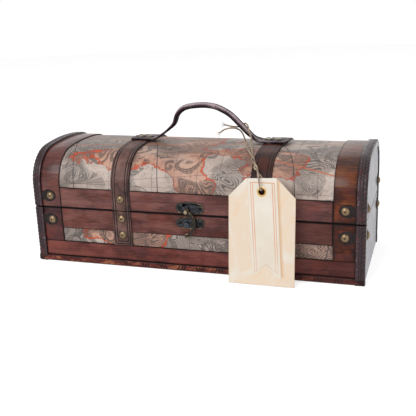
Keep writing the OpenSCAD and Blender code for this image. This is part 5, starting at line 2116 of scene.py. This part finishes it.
@dataclass
class Latch:
    """The swing hook, its rivet, the two plates, their screws and the catch post."""

    plate_y: float = -69.6 * MM
    screw_middle: float = 1.2 * MM
    screw_reach: float = 11 * MM
    pivot: Point = (-1.8 * MM, -72.6 * MM, 66.9 * MM)
    post: Tuple[float, float] = (-2.4 * MM, 51.82 * MM)
    drop: float = 26 * MM
    bulge: float = 8.3 * MM
    rim: float = 0.85 * MM
    sink: float = 0.42 * MM
    hook_width: float = 3.5 * MM
    half_thick: float = 0.98
    eye_r: float = 3.6
    tip_r: float = 2.52
    spur_r: float = 1.4

    def build(self) -> None:
        """Makes the plates, then what stands on them."""
        face = MetalFinish("latch_plate", "666b75", "111316", 0.88, 0.8, 0.34, 700.0,
                           0.3).material()
        edge = MetalFinish("latch_edge", "a08c66", "24211f", 0.86, 1.0, 0.28, 190.0).material()
        dark = MetalFinish("latch_screw", "3d3e42", "0c0c0d", 0.4, 0.8, 0.4, 700.0, 0.2).material()
        for node in ("latch_plate", "catch_plate"):
            metal_sheet(node, "cast", "latch_metal", 0.16 * MM, (face, edge), self.sink_field)
        self.screws(dark)
        self.rivet_and_post()
        self.hook()

    def sink_field(self, piece: Workpiece) -> None:
        """Presses a plate's front in, within a raised rim."""
        piece.edit()
        bpy.ops.mesh.select_mode(type="FACE")
        to_mode("OBJECT")
        for polygon in piece.obj.data.polygons:
            polygon.select = (polygon.normal.y < -0.95
                              and abs(polygon.center.y - self.plate_y) < 0.1 * MM)
        to_mode("EDIT")
        bpy.ops.mesh.inset(thickness=self.rim, depth=0.0)
        bpy.ops.mesh.inset(thickness=0.35 * MM, depth=-self.sink)
        to_mode("OBJECT")
        for polygon in piece.obj.data.polygons:
            polygon.material_index = 0 if polygon.select else 1
            polygon.select = False

    def screws(self, face: bpy.types.Material) -> None:
        """Slotted, blackened screws in the plates."""
        screw = slotted_screw("screw_pattern", 28, 0.32 * MM, (0.0, 0.45))
        for node, z in (("latch_screws", 69.9), ("catch_screws", 53.9)):
            places = [facing((self.screw_middle + s * self.screw_reach, self.plate_y, z * MM),
                             (0, -1, 0), 0.7 + 1.9 * k) for k, s in enumerate((-1, 1))]
            scatter(screw, node, places, "latch_metal", face)
        screw.discard()

    def stud(self, name: str, profile: Sequence[Tuple[float, float]],
             place: Tuple[float, float], reliefs: Tuple[float, float, float]) -> Workpiece:
        """A turned stud on a plate, rubbed or dark in its middle.

        Args:
            name: The piece's name.
            profile: (radius, height) points in mm.
            place: Its x and z.
            reliefs: Radius of its middle in mm, and the relief there and round it.

        Returns:
            The stud, undressed.
        """
        x, z = place
        middle_r, middle, rim = reliefs
        piece = Workpiece.turned(name, profile)
        piece.obj.data.transform(facing((x, self.plate_y, z), (0, -1, 0)))
        return piece.carve(lambda p: (p, middle if math.hypot(p.x - x, p.z - z)
                                      < middle_r * MM else rim)).smooth(40)

    def rivet_and_post(self) -> None:
        """The rivet that the hook turns on, and the post that it catches."""
        rivet = self.stud("hook_rivet", (
            (2.76, -0.5), (2.76, 1.7), (2.6, 1.84), (1.2, 1.86), (1.2, 4.14), (2.5, 4.15),
            (2.76, 4.4), (2.7, 4.8), (2.3, 5.25), (1.6, 5.55), (0.7, 5.7), (0.2, 5.72)),
            (self.pivot[0], self.pivot[2]), (1.9, 0.95, 0.0))
        brass = MetalFinish("rivet_brass", "8c8069", "1f1a16", 0.45, 1.0, 0.24, 400.0)
        rivet.dress(Body.LID, "hook_metal", brass.material(), replaces=("latch_rivet",))
        post = self.stud("catch_post_head", (
            (2.2, -0.5), (2.2, 0.7), (2.45, 0.85), (2.5, 1.2), (2.4, 1.5), (1.9, 1.68),
            (0.3, 1.7)), self.post, (1.5, 0.1, 0.9))
        steel = MetalFinish("post_steel", "474a52", "15181b", 0.5, 0.9, 0.32, 500.0)
        post.dress(Body.BASE, "latch_metal", steel.material(), replaces=("catch_post",))

    def hook(self) -> None:
        """The hook: a rounded bar on an arc with an eye, a spur and a scroll tip."""
        x, y, z = self.pivot
        radius = ((self.drop / 2) ** 2 + self.bulge ** 2) / (2 * self.bulge)
        half_turn = math.asin(self.drop / 2 / radius)
        cx, cz = x + self.bulge - radius, z - self.drop / 2
        sides, wide, deep = 14, self.hook_width / 2, self.half_thick * MM
        ring = []
        for k in range(sides):
            a = 2 * math.pi * k / sides
            reach = radius + wide * math.cos(a)
            ring.append((cx + reach * math.cos(half_turn), y + deep * math.sin(a),
                         cz + reach * math.sin(half_turn)))
        bar = Workpiece.outline("hook_bar", ring)
        bar.edit_all()
        bar.spin(40, 2 * half_turn, (cx, y, cz), (0, -1, 0))
        bar.close_ends()
        eye = self.eye("hook_eye", (x, y, z), self.eye_r, 1.25)
        tip = self.eye("hook_tip", (x, y, z - self.drop), self.tip_r, 0.0)
        spur_x = cx + radius - self.hook_width
        spur_z = z - self.drop * 0.54
        spur = self.eye("hook_spur", (spur_x, y, spur_z), self.spur_r, 0.0)
        piece = bar.join([eye, tip, spur])
        piece.obj.name = "swing_hook"

        def rub(p: Vector) -> Tuple[Vector, float]:
            """Bare edges, and patina along the middle."""
            side = min(1.0, abs(math.hypot(p.x - cx, p.z - cz) - radius) / wide)
            to_pivot = math.hypot(p.x - x, p.z - z)
            if to_pivot < (self.eye_r + 0.2) * MM:
                side = min(1.0, max(0.0, to_pivot / MM - 2.9) / 0.6)
            elif math.hypot(p.x - spur_x, p.z - spur_z) < 1.5 * MM:
                side = 0.3
            return p, 0.62 * side ** 2 + 0.3 * noise.noise(p * 300)

        piece.carve(rub).smooth(50)
        bronze = MetalFinish("hook_bronze", "8f7a5a", "241e1b", 0.5, 1.0, 0.3, 420.0)
        piece.dress(Body.HOOK, "hook_metal", bronze.material(), replaces=("latch_hook",))

    def eye(self, name: str, place: Point, r: float, hole: float) -> Workpiece:
        """A rounded disc, with a hole if the hole's radius isn't 0."""
        soft, half = 0.35, self.half_thick
        rim = [(r - soft, -half), (r, soft - half), (r, half - soft), (r - soft, half)]
        if hole:
            piece = Workpiece.revolved(name, [(hole, -half)] + rim + [(hole, half)], 32)
        else:
            piece = Workpiece.turned(name, rim + [(0.1, half)], 24)
        piece.obj.data.transform(facing(place, (0, -1, 0)))
        return piece


# ---------------------------------------------------------------- hinges and boards


@dataclass
class Hinges:
    """Two brass butt hinges at the rear."""

    leaf_y: float = 69.7 * MM
    screw_xs: Tuple[float, ...] = (-119.5 * MM, -106.5 * MM, 106.5 * MM, 119.5 * MM)

    def build(self) -> None:
        """Dresses leaves, screws and pins."""
        brass = MetalFinish("hinge_brass", "a58d52", "54472c", 0.55, 1.0, 0.34, 250.0)
        edge = MetalFinish("hinge_edge", "c9b27a", "6b5a36", 0.7, 1.0, 0.3, 250.0)
        face, rim = brass.material(), edge.material()
        for node in ("base_hinge_leaves", "lid_hinge_leaves"):
            metal_sheet(node, "brass", "hinge_metal", 0.12 * MM, (face, rim))
        bare_node("hinge_pins", rim)
        screw = slotted_screw("leaf_screw", 24, 0.3 * MM, (0.5, 0.5))
        for node in ("base_hinge_screws", "lid_hinge_screws"):
            low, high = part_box(node)
            places = [facing((x, self.leaf_y, (low.z + high.z) / 2), (0, 1, 0), 0.5 + 1.3 * k)
                      for k, x in enumerate(self.screw_xs)]
            scatter(screw, node, places, "hinge_metal", face)
        screw.discard()


@dataclass
class Boards:
    """The carcass and its lining."""

    def build(self) -> None:
        """Dresses boards, shell and linings."""
        # The end boards are dark wood tinted lavender: the tint is painted sheen, for the white
        # they reflect at a grazing angle.
        end = BoardFinish("end_board", "352b38", "474050", "5f5a6c", (60, 60, 8), 0.3, 0.4)
        raw = BoardFinish("raw_board", "8f6743", "b58d62", "cdaa80", roughness=0.6, coat=0.0)
        inside = BoardFinish("carcass_wood", "4c2d20", "6e4733", "86604a", roughness=0.5)
        ends, carcass = end.material(), inside.material()
        for node in ("base_left_board", "base_right_board", "lid_left_board", "lid_right_board"):
            bare_node(node, ends)
        for node in ("base_front_board", "base_rear_board", "lid_shell"):
            bare_node(node, carcass)
        bare_node("floor_board", raw.material())
        felt = FibreFinish("lining_felt", ("24140f", "38231c", "4d3329"), (1400, 3, 0.7),
                           (40, 3, 0.6), 0.55, 0.34, 0.95, 0.35, 0.25 * MM).material()
        for node in ("base_lining", "lid_lining"):
            piece = Workpiece.from_node(node + "_felt", node)
            piece.soften(0.25 * MM, 2, 50).smooth(30)
            piece.dress(Body.of(node), "lining_felt", felt, replaces=(node,))


# ---------------------------------------------------------------- assembly


def main() -> None:
    """Builds the whole box in order."""
    logging.basicConfig(level=logging.INFO, format="%(name)s: %(message)s")
    Studio().build()
    for part in (TagAndTwine(), Veneers(), Papers(), Trims(), Leather(), Nails(), Plates(),
                 Latch(), Hinges(), Boards()):
        part.build()
        log.info("%s done", type(part).__name__)
    put_down_tools()


if __name__ == "__main__":
    main()
